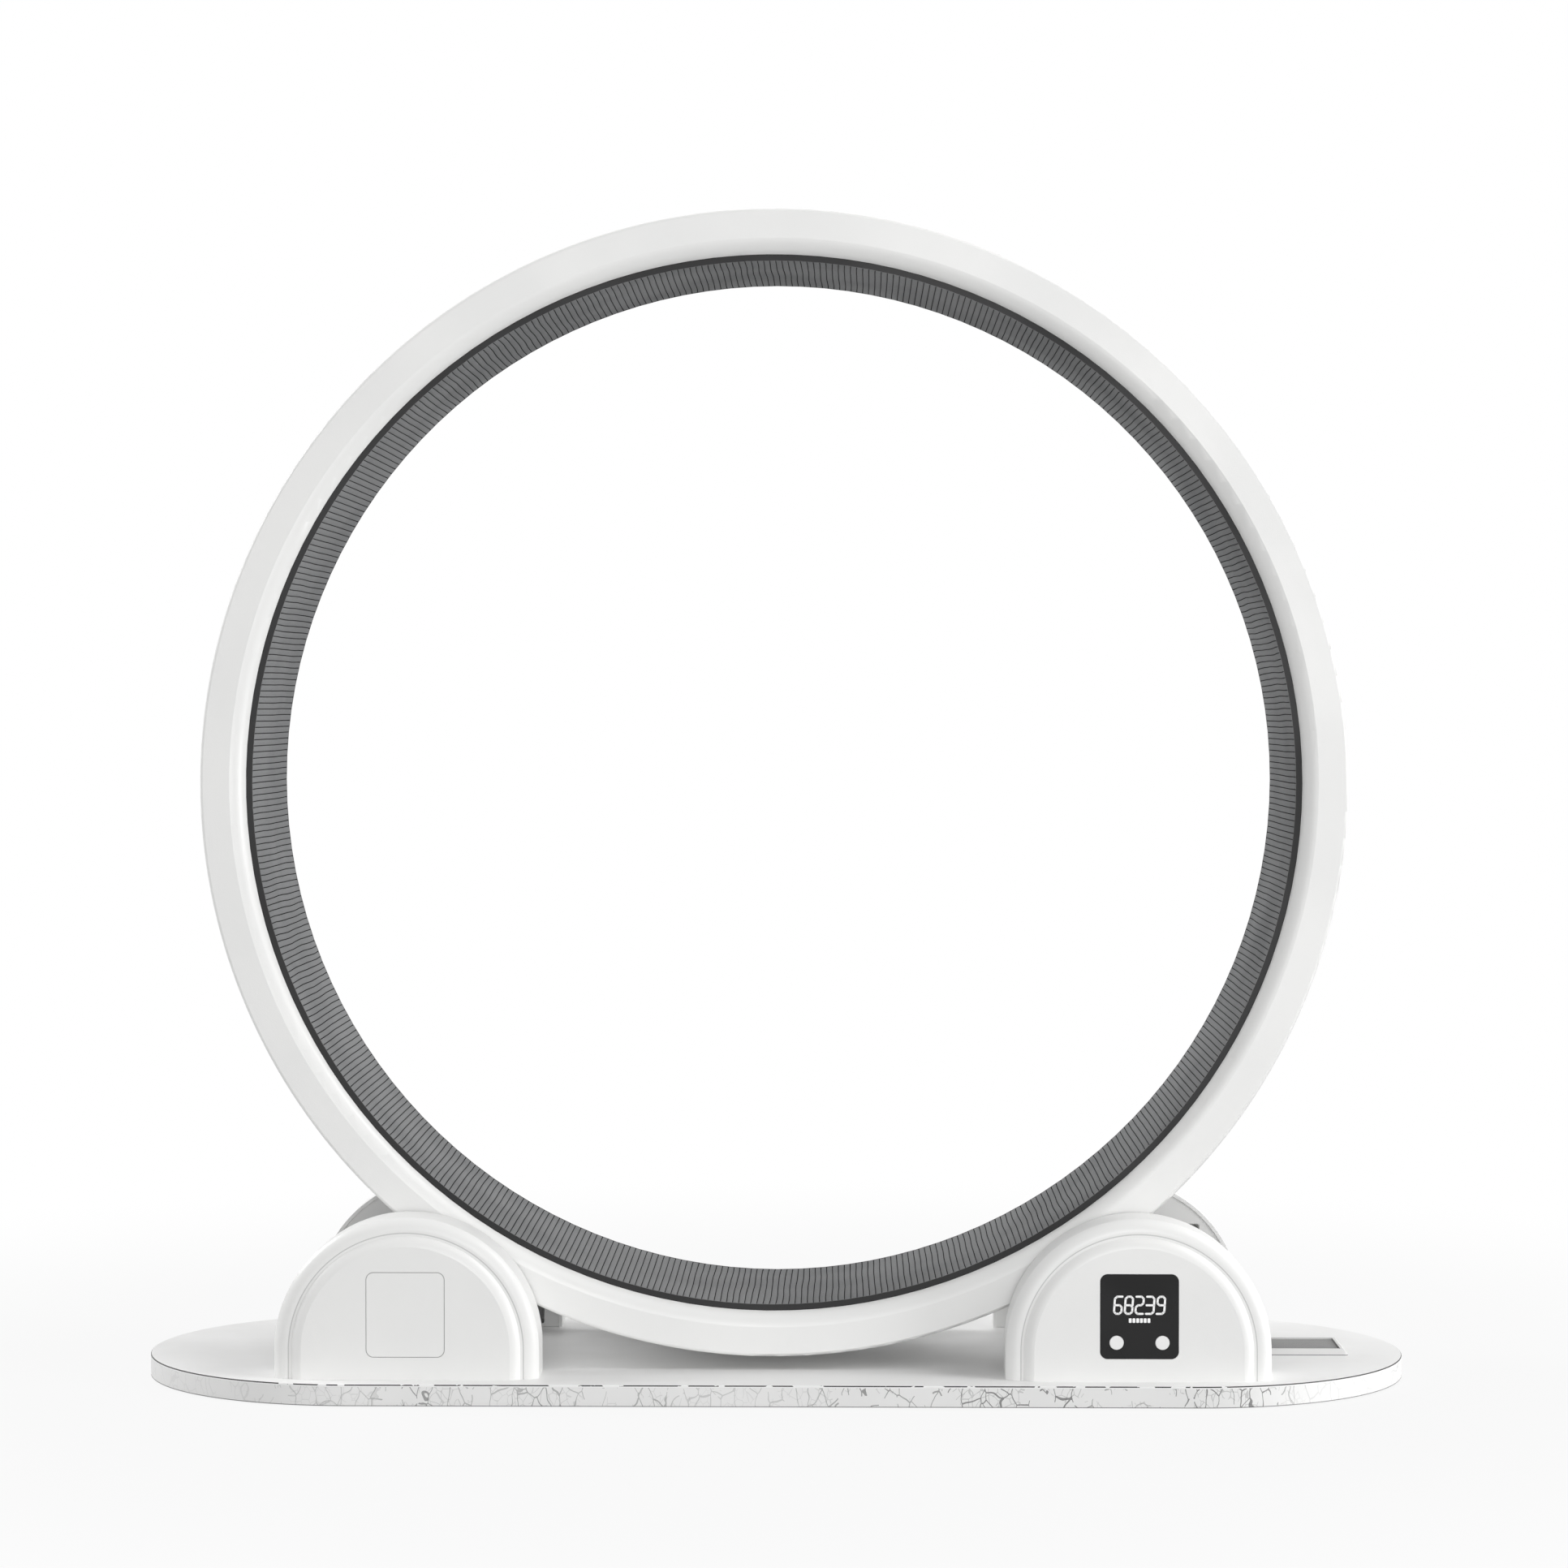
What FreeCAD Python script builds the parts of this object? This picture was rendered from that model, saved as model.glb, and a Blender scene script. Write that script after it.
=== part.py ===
import FreeCAD, Part
import math
import os

import Sketcher

# Cat exercise wheel: a hubless ring, lined with a running mat, that turns on four rollers.
# The rollers stand in four domed towers on a stadium-shaped base. Millimetres, +Z up.
# The floor is Z = 0, the wheel's axis is parallel to Y and crosses the Z axis, and the
# front, with the counter, looks along -Y.

SIZES = [
    # base
    ("plate_length", 1124.0),  # stadium, end to end
    ("plate_width", 395.0),
    ("board_thickness", 16.5),
    ("deck_thickness", 2.0),  # white sheet glued on the board
    ("band_thickness", 1.2),  # edge band round the board
    ("glue_line", 0.05),
    ("deck_edge_radius", 0.8),
    ("foot_diameter", 36.0),
    ("foot_thickness", 2.6),
    ("foot_proud", 1.0),  # how far the feet stand out of the board
    ("foot_clearance", 0.2),
    ("outer_foot_end_inset", 107.0),  # foot centre, from the end of the base
    ("outer_foot_side_inset", 92.5),
    ("inner_foot_x", 130.0),
    ("inner_foot_side_inset", 42.5),
    # wheel
    ("rim_radius", 500.0),
    ("wheel_width", 237.0),
    ("wheel_clearance", 11.8),  # under the ring, above the deck
    ("rim_depth", 34.0),  # how far each rim reaches in from its face
    ("rim_face_wall", 3.0),
    ("rim_tread_wall", 3.5),  # under the roller track
    ("rim_edge_radius", 2.5),
    ("track_depth", 3.0),
    ("track_shoulder", 5.0),
    ("track_width", 19.0),
    ("face_width", 25.6),  # flat white face of the rim
    ("lip_depth", 9.0),
    ("lip_bulge_radius", 16.5),
    ("lip_wall", 2.5),
    ("joint_flange", 12.5),  # part of the rim that is screwed to the drum
    ("rim_rib_count", 24.0),
    ("rim_rib_thickness", 2.5),
    ("rim_rib_setback", 3.0),
    ("ring_depth", 39.0),  # from the outside of the rims to the inside of the drum
    ("drum_wall", 3.0),
    ("drum_fit", 0.2),
    ("mat_thickness", 5.4),
    ("trim_thickness", 2.2),
    ("rim_screw_count", 8.0),
    ("rim_screw_diameter", 4.0),
    ("rim_screw_head", 8.0),
    ("rim_screw_head_height", 2.4),
    ("magnet_diameter", 10.0),
    ("magnet_thickness", 4.0),
    ("magnet_inset", 14.0),  # magnet centre, from the outside of the rim
    # rollers
    ("roller_angle", 33.0),  # from straight below the axis
    ("roller_radius", 36.0),
    ("roller_gap", 0.3),
    ("roller_width", 16.0),
    ("tyre_thickness", 6.0),
    ("tyre_crown", 1.0),
    ("hub_rim_wall", 4.0),
    ("hub_web", 4.0),
    ("hub_boss_radius", 15.0),
    ("hub_hole_count", 6.0),
    ("hub_hole_diameter", 7.0),
    ("bearing_radius", 11.0),
    ("bearing_width", 7.0),
    ("bearing_shield_depth", 0.4),
    ("bearing_race", 2.2),
    ("axle_diameter", 8.0),
    ("axle_clearance", 0.05),
    ("axle_head_across", 13.0),
    ("axle_head_height", 5.5),
    ("axle_end_gap", 0.3),
    ("axle_tail", 1.5),
    ("nut_height", 7.0),
    ("spacer_radius", 6.0),
    # towers
    ("tower_offset", 25.0),  # tower centre, outside its roller
    ("tower_radius", 114.4),
    ("arch_height", 24.6),  # centre of the arch, above the deck
    ("side_clearance", 2.5),  # between the ring's face and a tower
    ("tower_depth", 53.0),
    ("dome_rise", 11.0),  # from the tower's shoulder to its flat face
    ("outer_band_width", 12.6),
    ("outer_band_rise", 6.2),
    ("ledge_width", 3.0),
    ("inner_band_width", 8.8),
    ("band_radius", 13.0),
    ("tower_wall", 3.0),
    ("wall_gap", 0.2),  # round the inner wall, in the cover's mouth
    ("wall_recess", 1.0),
    ("wall_plate", 3.0),
    ("window_offset", 10.5),  # window centre, inside the tower centre
    ("window_width", 174.0),
    ("window_sill", 3.0),
    ("window_height", 94.0),
    ("window_corner", 2.0),
    ("window_chamfer", 0.8),
    ("boss_radius", 5.0),
    ("wall_screw_diameter", 3.0),
    ("wall_screw_head", 6.0),
    ("wall_screw_head_height", 1.8),
    ("wall_screw_length", 10.0),
    ("foot_boss_radius", 6.0),
    ("foot_boss_sink", 0.6),  # into the cover's side
    ("foot_boss_height", 18.0),
    ("foot_boss_setback", 14.0),
    ("tower_screw_diameter", 4.0),
    ("base_screw_head", 9.0),
    ("base_screw_head_height", 3.0),
    ("base_screw_recess", 4.0),
    ("screw_clearance", 0.2),
    ("tower_screw_bite", 12.0),
    # roller cradles
    ("cradle_start", 6.0),  # behind the face of the inner wall
    ("cradle_depth", 16.0),
    ("cradle_sheet", 3.0),
    ("cradle_length", 104.0),
    ("cradle_top_radius", 15.0),
    ("cradle_lean", 30.0),  # where a cheek's sides meet its round top
    ("cradle_screw_spacing", 76.0),
    ("cradle_screw_diameter", 5.0),
    # counter and blank panel
    ("panel_width", 67.2),
    ("panel_height", 72.8),
    ("panel_corner", 6.3),
    ("panel_gap", 0.2),
    ("panel_center", 56.2),  # above the deck
    ("panel_thickness", 3.0),
    ("clip_width", 10.0),
    ("clip_thickness", 1.6),
    ("clip_length", 7.0),
    ("clip_hook", 1.0),
    ("lens_thickness", 2.0),
    ("lens_proud", 0.3),
    ("case_depth", 19.3),
    ("case_wall", 1.8),
    ("case_floor", 1.5),
    ("cell_diameter", 10.5),
    ("cell_length", 44.5),
    ("cell_gap", 0.2),
    ("cover_margin", 2.0),
    ("board_fit", 0.2),
    ("circuit_thickness", 1.6),
    ("digits_width", 50.0),
    ("digits_height", 24.0),
    ("digits_depth", 4.6),
    ("digits_rise", 9.6),  # centre of the digits, above the panel's centre
    ("button_diameter", 12.0),
    ("button_spacing", 39.3),
    ("button_drop", 22.4),  # below the panel's centre
    ("button_gap", 0.3),
    ("button_proud", 0.7),
    ("button_flange", 1.3),
    ("button_flange_height", 1.0),
    ("switch_side", 6.0),
    ("switch_height", 2.6),
    ("sensor_offset", 50.0),  # from the tower's centre towards the wheel's
    ("sensor_length", 12.0),
    ("sensor_height", 8.0),
    ("sensor_depth", 5.0),
    # scratch tray
    ("tray_end_gap", 50.0),  # between the tray and the end of the base
    ("tray_length", 160.0),
    ("tray_width", 64.0),
    ("tray_height", 6.0),
    ("tray_floor", 1.2),
    ("tray_rim", 2.2),
    ("tray_ramp", 7.0),
    ("tray_corner", 3.0),
    ("pad_gap", 0.3),
    ("pad_drop", 1.2),  # pad top, under the tray's rim
]


class Length:
    """A number together with the sheet formula that gives it."""

    def __init__(self, value, text=None):
        self.value = float(value)
        self.text = text if text else "(%r)" % float(value)

    def __add__(self, other):
        other = length(other)
        return Length(self.value + other.value, "(%s + %s)" % (self.text, other.text))

    def __sub__(self, other):
        other = length(other)
        return Length(self.value - other.value, "(%s - %s)" % (self.text, other.text))

    def __mul__(self, other):
        other = length(other)
        return Length(self.value * other.value, "(%s * %s)" % (self.text, other.text))

    def __truediv__(self, other):
        other = length(other)
        return Length(self.value / other.value, "(%s / %s)" % (self.text, other.text))

    def __rsub__(self, other):
        return length(other) - self

    def __neg__(self):
        return self * -1

    __radd__ = __add__
    __rmul__ = __mul__


def length(value):
    return value if isinstance(value, Length) else Length(value)


def sine(angle):
    return Length(math.sin(math.radians(angle.value)), "sin(%s)" % angle.text)


def cosine(angle):
    return Length(math.cos(math.radians(angle.value)), "cos(%s)" % angle.text)


def root(value):
    return Length(math.sqrt(value.value), "sqrt(%s)" % value.text)


doc = FreeCAD.newDocument("CatExerciseWheel")
sheet = doc.addObject("Spreadsheet::Sheet", "Sizes")


class Dimensions:
    """Every driving size, as a Length that reads its cell."""


dim = Dimensions()
for row, (alias, number) in enumerate(SIZES, start=1):
    sheet.set("A%d" % row, alias)
    sheet.set("B%d" % row, repr(number))
    sheet.setAlias("B%d" % row, alias)
    setattr(dim, alias, Length(number, "Sizes." + alias))
doc.recompute()

# Places that several pieces share.
plate_top = dim.foot_proud + dim.board_thickness + dim.deck_thickness
wheel_z = plate_top + dim.wheel_clearance + dim.rim_radius
half_width = dim.wheel_width / 2
drum_inner = dim.rim_radius - dim.ring_depth
drum_outer = drum_inner + dim.drum_wall
flange_inner = drum_outer + dim.drum_fit
flange_outer = flange_inner + dim.drum_wall
magnet_circle = dim.rim_radius - dim.magnet_inset
track_radius = dim.rim_radius - dim.track_depth
track_outer = half_width - dim.track_shoulder
track_middle = track_outer - dim.track_width / 2
roller_distance = track_radius + dim.roller_radius + dim.roller_gap
roller_x = roller_distance * sine(dim.roller_angle)
roller_height = wheel_z - roller_distance * cosine(dim.roller_angle) - plate_top
roller_inner = track_middle - dim.roller_width / 2
roller_outer = track_middle + dim.roller_width / 2
tower_x = roller_x + dim.tower_offset
tower_back = half_width + dim.side_clearance
tower_face = tower_back + dim.tower_depth
tower_shoulder = tower_face - dim.dome_rise
wall_front = tower_back + dim.wall_recess
wall_back = wall_front + dim.wall_plate
cradle_front = tower_back + dim.cradle_start
cradle_back = cradle_front + dim.cradle_depth
cradle_middle = cradle_front + dim.cradle_depth / 2
inner_arch = dim.tower_radius - dim.tower_wall
wall_arch = inner_arch - dim.wall_gap
boss_circle = inner_arch - dim.boss_radius - dim.wall_gap
foot_boss_x = inner_arch - dim.foot_boss_radius + dim.foot_boss_sink
foot_boss_y = tower_shoulder - dim.foot_boss_setback
mat_half_width = half_width - dim.lip_depth - dim.lip_wall
lens_face = tower_face + dim.lens_proud
lens_back = lens_face - dim.lens_thickness
case_back = lens_back - dim.case_depth
circuit_back = case_back + dim.case_floor + dim.cell_diameter + dim.cell_gap * 2
circuit_front = circuit_back + dim.circuit_thickness
button_height = dim.panel_center - dim.button_drop
outer_foot_x = dim.plate_length / 2 - dim.outer_foot_end_inset
outer_foot_y = dim.plate_width / 2 - dim.outer_foot_side_inset
inner_foot_y = dim.plate_width / 2 - dim.inner_foot_side_inset
tray_start = dim.plate_length / 2 - dim.tray_end_gap - dim.tray_length
past_edge = Length(1.0)  # how far a cut runs past the solid that it opens

SMALL = 1e-4
FRONT, REAR = -1, 1
LEFT, RIGHT = -1, 1
TOWERS = [
    ("front_left", LEFT, FRONT),
    ("front_right", RIGHT, FRONT),
    ("rear_left", LEFT, REAR),
    ("rear_right", RIGHT, REAR),
]


def hand(side, end):
    """+1 where the wheel's centre lies on a tower's own +X side, else -1."""
    return side * end


# Sketches and features


def origin_feature(body, role):
    return next(item for item in body.Origin.OriginFeatures if item.Role == role)


def new_body(name):
    body = doc.addObject("PartDesign::Body", name)
    body.Label = name
    body.AllowCompound = True
    return body


def place(body, x=0, y=0, z=0, half_turn=False):
    turn = FreeCAD.Rotation(FreeCAD.Vector(0, 0, 1), 180.0 if half_turn else 0.0)
    x, y, z = length(x), length(y), length(z)
    body.Placement = FreeCAD.Placement(FreeCAD.Vector(x.value, y.value, z.value), turn)
    body.setExpression("Placement.Base.x", x.text)
    body.setExpression("Placement.Base.y", y.text)
    body.setExpression("Placement.Base.z", z.text)


def new_sketch(body, name, plane, offset=0):
    """A sketch on one of the body's own planes. XZ sketches have their normal along -Y."""
    offset = length(offset)
    sketch = body.newObject("Sketcher::SketchObject", body.Name + "_" + name)
    sketch.AttachmentSupport = [(origin_feature(body, plane), "")]
    sketch.MapMode = "FlatFace"
    sketch.AttachmentOffset = FreeCAD.Placement(
        FreeCAD.Vector(0, 0, offset.value), FreeCAD.Rotation()
    )
    sketch.setExpression("AttachmentOffset.Base.z", offset.text)
    return sketch


def bind(sketch, constraint, value):
    index = sketch.addConstraint(constraint)
    sketch.setExpression("Constraints[%d]" % index, value.text)


def hold_point(sketch, geometry, point, x, y):
    x, y = length(x), length(y)
    bind(sketch, Sketcher.Constraint("DistanceX", -1, 1, geometry, point, x.value), x)
    bind(sketch, Sketcher.Constraint("DistanceY", -1, 1, geometry, point, y.value), y)


def add_circle(sketch, x, y, radius):
    x, y, radius = length(x), length(y), length(radius)
    center = FreeCAD.Vector(x.value, y.value, 0)
    circle = Part.Circle(center, FreeCAD.Vector(0, 0, 1), radius.value)
    index = sketch.addGeometry(circle, False)
    bind(sketch, Sketcher.Constraint("Radius", index, radius.value), radius)
    hold_point(sketch, index, 3, x, y)


def arc_center(start, end, radius):
    """Centre of the short arc from start to end: left of the chord if radius is positive."""
    chord = end - start
    rise = math.sqrt(max(radius**2 - (chord.Length / 2) ** 2, 0.0))
    normal = FreeCAD.Vector(-chord.y, chord.x, 0).normalize()
    return (start + end) * 0.5 + normal * math.copysign(rise, radius)


def add_arc(sketch, start, end, center, turns_left):
    begin, finish = (start, end) if turns_left else (end, start)
    first = math.atan2(begin.y - center.y, begin.x - center.x)
    last = math.atan2(finish.y - center.y, finish.x - center.x)
    if last <= first:
        last += 2 * math.pi
    circle = Part.Circle(center, FreeCAD.Vector(0, 0, 1), (start - center).Length)
    return sketch.addGeometry(Part.ArcOfCircle(circle, first, last), False)


def add_outline(sketch, corners):
    """A closed outline. A corner is (x, y), then for an arc to the next corner either its
    radius (positive turns left) or (centre x, centre y, turns left) for a half circle."""
    points = [
        FreeCAD.Vector(length(c[0]).value, length(c[1]).value, 0) for c in corners
    ]
    ends = []
    for number, corner in enumerate(corners):
        start, end = points[number], points[(number + 1) % len(points)]
        bend = corner[2] if len(corner) > 2 else None
        if bend is None:
            index = sketch.addGeometry(Part.LineSegment(start, end), False)
            ends.append((index, 1, 2))
            continue
        if isinstance(bend, tuple):
            middle = FreeCAD.Vector(length(bend[0]).value, length(bend[1]).value, 0)
            index = add_arc(sketch, start, end, middle, bend[2])
            ends.append((index, 1, 2) if bend[2] else (index, 2, 1))
            upright = abs(end.y - start.y) > abs(end.x - start.x)
            kind = "DistanceX" if upright else "DistanceY"
            at = length(bend[0] if upright else bend[1])
            bind(sketch, Sketcher.Constraint(kind, -1, 1, index, 3, at.value), at)
        else:
            middle = arc_center(start, end, bend.value)
            turns_left = bend.value > 0
            index = add_arc(sketch, start, end, middle, turns_left)
            ends.append((index, 1, 2) if turns_left else (index, 2, 1))
            size = bend if turns_left else -bend
            bind(sketch, Sketcher.Constraint("Radius", index, size.value), size)
    for number, (index, begin, _) in enumerate(ends):
        before, _, finish = ends[number - 1]
        sketch.addConstraint(
            Sketcher.Constraint("Coincident", before, finish, index, begin)
        )
        hold_point(sketch, index, begin, corners[number][0], corners[number][1])


def rectangle(left, low, right, high):
    return [(left, low), (right, low), (right, high), (left, high)]


def rounded_rectangle(left, low, right, high, corner):
    return [
        (left + corner, low),
        (right - corner, low, corner),
        (right, low + corner),
        (right, high - corner, corner),
        (right - corner, high),
        (left + corner, high, corner),
        (left, high - corner),
        (left, low + corner, corner),
    ]


def stadium(long_side, short_side):
    end, radius = (long_side - short_side) / 2, short_side / 2
    return [
        (-end, -radius),
        (end, -radius, (end, length(0), True)),
        (end, radius),
        (-end, radius, (-end, length(0), True)),
    ]


def arch(radius, foot):
    """A half circle on two upright sides, seen along Y, with the deck at 0."""
    return [
        (-radius, foot),
        (radius, foot),
        (radius, dim.arch_height, (length(0), dim.arch_height, True)),
        (-radius, dim.arch_height),
    ]


def finish_feature(body, feature, removes):
    """Recomputes, and stops if the feature changed nothing or went the wrong way."""
    before = feature.BaseFeature.Shape.Volume if feature.BaseFeature else 0.0
    doc.recompute()
    after = feature.Shape.Volume
    if (removes and after >= before) or (not removes and after <= before):
        raise RuntimeError("%s does nothing to its body" % feature.Name)
    return feature


def extrude(kind, body, name, sketch, depth, both_ways, reverse):
    depth = length(depth)
    feature = body.newObject("PartDesign::" + kind, body.Name + "_" + name)
    feature.Profile = sketch
    feature.Length = depth.value
    feature.setExpression("Length", depth.text)
    feature.Midplane = both_ways
    feature.Reversed = reverse
    return finish_feature(body, feature, kind == "Pocket")


def pad(body, name, sketch, depth, both_ways=False, reverse=False):
    return extrude("Pad", body, name, sketch, depth, both_ways, reverse)


def pocket(body, name, sketch, depth, both_ways=False, reverse=False):
    return extrude("Pocket", body, name, sketch, depth, both_ways, reverse)


def turn(kind, body, name, sketch, axis, angle=360.0, reverse=False):
    feature = body.newObject("PartDesign::" + kind, body.Name + "_" + name)
    feature.Profile = sketch
    feature.ReferenceAxis = axis
    feature.Angle = angle
    feature.Reversed = reverse
    return finish_feature(body, feature, kind == "Groove")


def revolve(body, name, sketch):
    return turn(
        "Revolution", body, name, sketch, (origin_feature(body, "Y_Axis"), [""])
    )


def polar(body, name, feature, count):
    pattern = body.newObject("PartDesign::PolarPattern", body.Name + "_" + name)
    pattern.Originals = [feature]
    pattern.Axis = (origin_feature(body, "Y_Axis"), [""])
    pattern.Angle = 360.0
    pattern.Occurrences = int(count.value)
    pattern.setExpression("Occurrences", count.text)
    body.Tip = pattern
    doc.recompute()
    return pattern


def edges_where(shape, wanted):
    return ["Edge%d" % (i + 1) for i, edge in enumerate(shape.Edges) if wanted(edge)]


def soften(kind, body, name, base, edges, size):
    feature = body.newObject("PartDesign::" + kind, body.Name + "_" + name)
    feature.Base = (base, edges)
    setting = "Radius" if kind == "Fillet" else "Size"
    setattr(feature, setting, size.value)
    feature.setExpression(setting, size.text)
    body.Tip = feature
    doc.recompute()
    return feature


def lies_at(edge, axis, value):
    low = getattr(edge.BoundBox, axis + "Min")
    high = getattr(edge.BoundBox, axis + "Max")
    return abs(low - value) < SMALL and abs(high - value) < SMALL


# Base


def cradle_screw_places():
    for _, side, end in TOWERS:
        for step in (-1, 1):
            yield (
                roller_x * side + dim.cradle_screw_spacing * (step / 2),
                cradle_middle * end,
            )


def tower_screw_places():
    for _, side, end in TOWERS:
        for step in (-1, 1):
            yield tower_x * side + foot_boss_x * step, foot_boss_y * end


def foot_places():
    for along in (-1, 1):
        for across in (-1, 1):
            yield outer_foot_x * along, outer_foot_y * across
            yield dim.inner_foot_x * along, inner_foot_y * across


def circles(sketch, places, radius):
    for x, y in places:
        add_circle(sketch, x, y, radius)
    return sketch


def make_base_board():
    body = new_body("base_board")
    outline = new_sketch(body, "outline", "XY_Plane", dim.foot_proud)
    inset = (dim.band_thickness + dim.glue_line) * 2
    add_outline(outline, stadium(dim.plate_length - inset, dim.plate_width - inset))
    pad(body, "slab", outline, dim.board_thickness)
    feet = new_sketch(body, "foot_recesses", "XY_Plane", dim.foot_proud)
    circles(feet, foot_places(), dim.foot_diameter / 2 + dim.foot_clearance)
    depth = dim.foot_thickness - dim.foot_proud
    pocket(body, "foot_seats", feet, depth, reverse=True)
    heads = new_sketch(body, "head_recesses", "XY_Plane", dim.foot_proud)
    head_radius = dim.base_screw_head / 2 + dim.screw_clearance
    circles(heads, cradle_screw_places(), head_radius)
    circles(heads, tower_screw_places(), head_radius)
    depth = dim.base_screw_recess
    pocket(body, "head_seats", heads, depth, reverse=True)
    holes = new_sketch(body, "screw_holes", "XY_Plane", dim.foot_proud)
    screw_hole_circles(holes)
    pocket(body, "screw_bores", holes, dim.board_thickness, reverse=True)


def screw_hole_circles(sketch):
    gap = dim.screw_clearance
    circles(sketch, cradle_screw_places(), dim.cradle_screw_diameter / 2 + gap)
    circles(sketch, tower_screw_places(), dim.tower_screw_diameter / 2 + gap)


def make_base_deck():
    body = new_body("base_deck")
    bottom = plate_top - dim.deck_thickness
    outline = new_sketch(body, "outline", "XY_Plane", bottom)
    add_outline(outline, stadium(dim.plate_length, dim.plate_width))
    sheet_pad = pad(body, "sheet", outline, dim.deck_thickness)
    top_edges = edges_where(
        sheet_pad.Shape, lambda edge: lies_at(edge, "Z", plate_top.value)
    )
    soften("Fillet", body, "edge", sheet_pad, top_edges, dim.deck_edge_radius)
    holes = new_sketch(body, "screw_holes", "XY_Plane", bottom)
    screw_hole_circles(holes)
    pocket(body, "screw_bores", holes, dim.deck_thickness, reverse=True)


def make_edge_band():
    body = new_body("edge_band")
    outline = new_sketch(body, "outline", "XY_Plane", dim.foot_proud)
    add_outline(outline, stadium(dim.plate_length, dim.plate_width))
    inset = dim.band_thickness * 2
    add_outline(outline, stadium(dim.plate_length - inset, dim.plate_width - inset))
    pad(body, "strip", outline, dim.board_thickness)


def make_base_feet():
    body = new_body("base_feet")
    discs = new_sketch(body, "discs", "XY_Plane")
    circles(discs, foot_places(), dim.foot_diameter / 2)
    pad(body, "pads", discs, dim.foot_thickness)


def make_base_screws(name, places, diameter, bite):
    """Pan-head screws that come up through the board, heads sunk from below."""
    body = new_body(name)
    places = list(places)
    seat = dim.foot_proud + dim.base_screw_recess
    heads = new_sketch(
        body, "heads", "XY_Plane", seat - dim.base_screw_head_height
    )
    circles(heads, places, dim.base_screw_head / 2)
    pad(body, "head_discs", heads, dim.base_screw_head_height)
    shanks = new_sketch(body, "shanks", "XY_Plane", seat)
    circles(shanks, places, diameter / 2)
    pad(body, "shank_rods", shanks, plate_top + bite - seat)


# Wheel


def rim_outline(end):
    """Half section of a rim as (radius, Y), for the ring's front (end -1) or rear (+1) side."""
    face = half_width * end

    def inward(depth):
        return face - depth * end

    lip_end = inward(dim.lip_depth)
    lip_back = inward(dim.lip_depth + dim.lip_wall)
    flange_end = inward(dim.rim_depth + dim.joint_flange)
    channel = inward(dim.rim_face_wall)
    back = inward(dim.rim_depth)
    tread_inner = track_radius - dim.rim_tread_wall
    face_inner = dim.rim_radius - dim.face_width
    return [
        (face_inner, face),
        (dim.rim_radius - dim.rim_edge_radius, face, dim.rim_edge_radius * -end),
        (dim.rim_radius, inward(dim.rim_edge_radius)),
        (dim.rim_radius, inward(dim.track_shoulder)),
        (track_radius, inward(dim.track_shoulder)),
        (track_radius, inward(dim.track_shoulder + dim.track_width)),
        (dim.rim_radius, inward(dim.track_shoulder + dim.track_width)),
        (dim.rim_radius, back),
        (tread_inner, back),
        (tread_inner, channel),
        (face_inner, channel),
        (flange_outer, inward(dim.lip_depth)),
        (flange_outer, flange_end),
        (flange_inner, flange_end),
        (flange_inner, lip_back),
        (drum_inner, lip_back),
        (drum_inner, lip_end, dim.lip_bulge_radius * -end),
    ]


def web_outline(end):
    """Cross web in the rim's channel as (radius, Y), let half way into the walls round it."""
    overlap = dim.rim_face_wall / 2
    low = flange_outer - overlap
    high = track_radius - dim.rim_tread_wall + overlap
    back = (half_width - dim.rim_depth + dim.rim_rib_setback) * end
    front = (half_width - overlap) * end
    return [
        (low, back),
        (high, back),
        (high, front),
        (dim.rim_radius - dim.face_width, front),
        (low, (half_width - dim.lip_depth) * end),
    ]


def rim_screw_y(end):
    return (half_width - dim.rim_depth - dim.joint_flange / 2) * end


def make_rim(name, end):
    body = new_body(name)
    place(body, z=wheel_z)
    section = new_sketch(body, "section", "XY_Plane")
    add_outline(section, rim_outline(end))
    revolve(body, "ring", section)
    rib = new_sketch(body, "rib", "XY_Plane")
    add_outline(rib, web_outline(end))
    web = pad(body, "web", rib, dim.rim_rib_thickness, both_ways=True)
    polar(body, "webs", web, dim.rim_rib_count)
    drill_radially(body, rim_screw_y(end), flange_outer)


def drill_radially(body, y, radius):
    """Pilot holes for the rim screws, on +Z first and then round the axis."""
    hole = new_sketch(body, "pilot%d" % (y.value > 0), "XY_Plane")
    add_circle(hole, 0, y, dim.rim_screw_diameter / 2 + dim.glue_line)
    depth = radius + past_edge
    cut = pocket(body, "pilot_hole%d" % (y.value > 0), hole, depth, reverse=True)
    polar(body, "pilot_holes%d" % (y.value > 0), cut, dim.rim_screw_count)


def ring(name, inner, outer, low_y, high_y):
    body = new_body(name)
    place(body, z=wheel_z)
    section = new_sketch(body, "section", "XY_Plane")
    add_outline(section, rectangle(inner, low_y, outer, high_y))
    revolve(body, "ring", section)
    return body


def make_drum():
    body = ring("drum_shell", drum_inner, drum_outer, -mat_half_width, mat_half_width)
    for end in (FRONT, REAR):
        drill_radially(body, rim_screw_y(end), drum_outer)


def make_mat():
    outer = drum_inner - dim.glue_line
    inner = drum_inner - dim.mat_thickness
    ring("running_mat", inner, outer, -mat_half_width, mat_half_width)
    for name, end in (("front_mat_trim", FRONT), ("rear_mat_trim", REAR)):
        near = mat_half_width * end
        far = (mat_half_width + dim.trim_thickness) * end
        low, high = (far, near) if end == FRONT else (near, far)
        ring(name, inner, outer, low, high)


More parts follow.
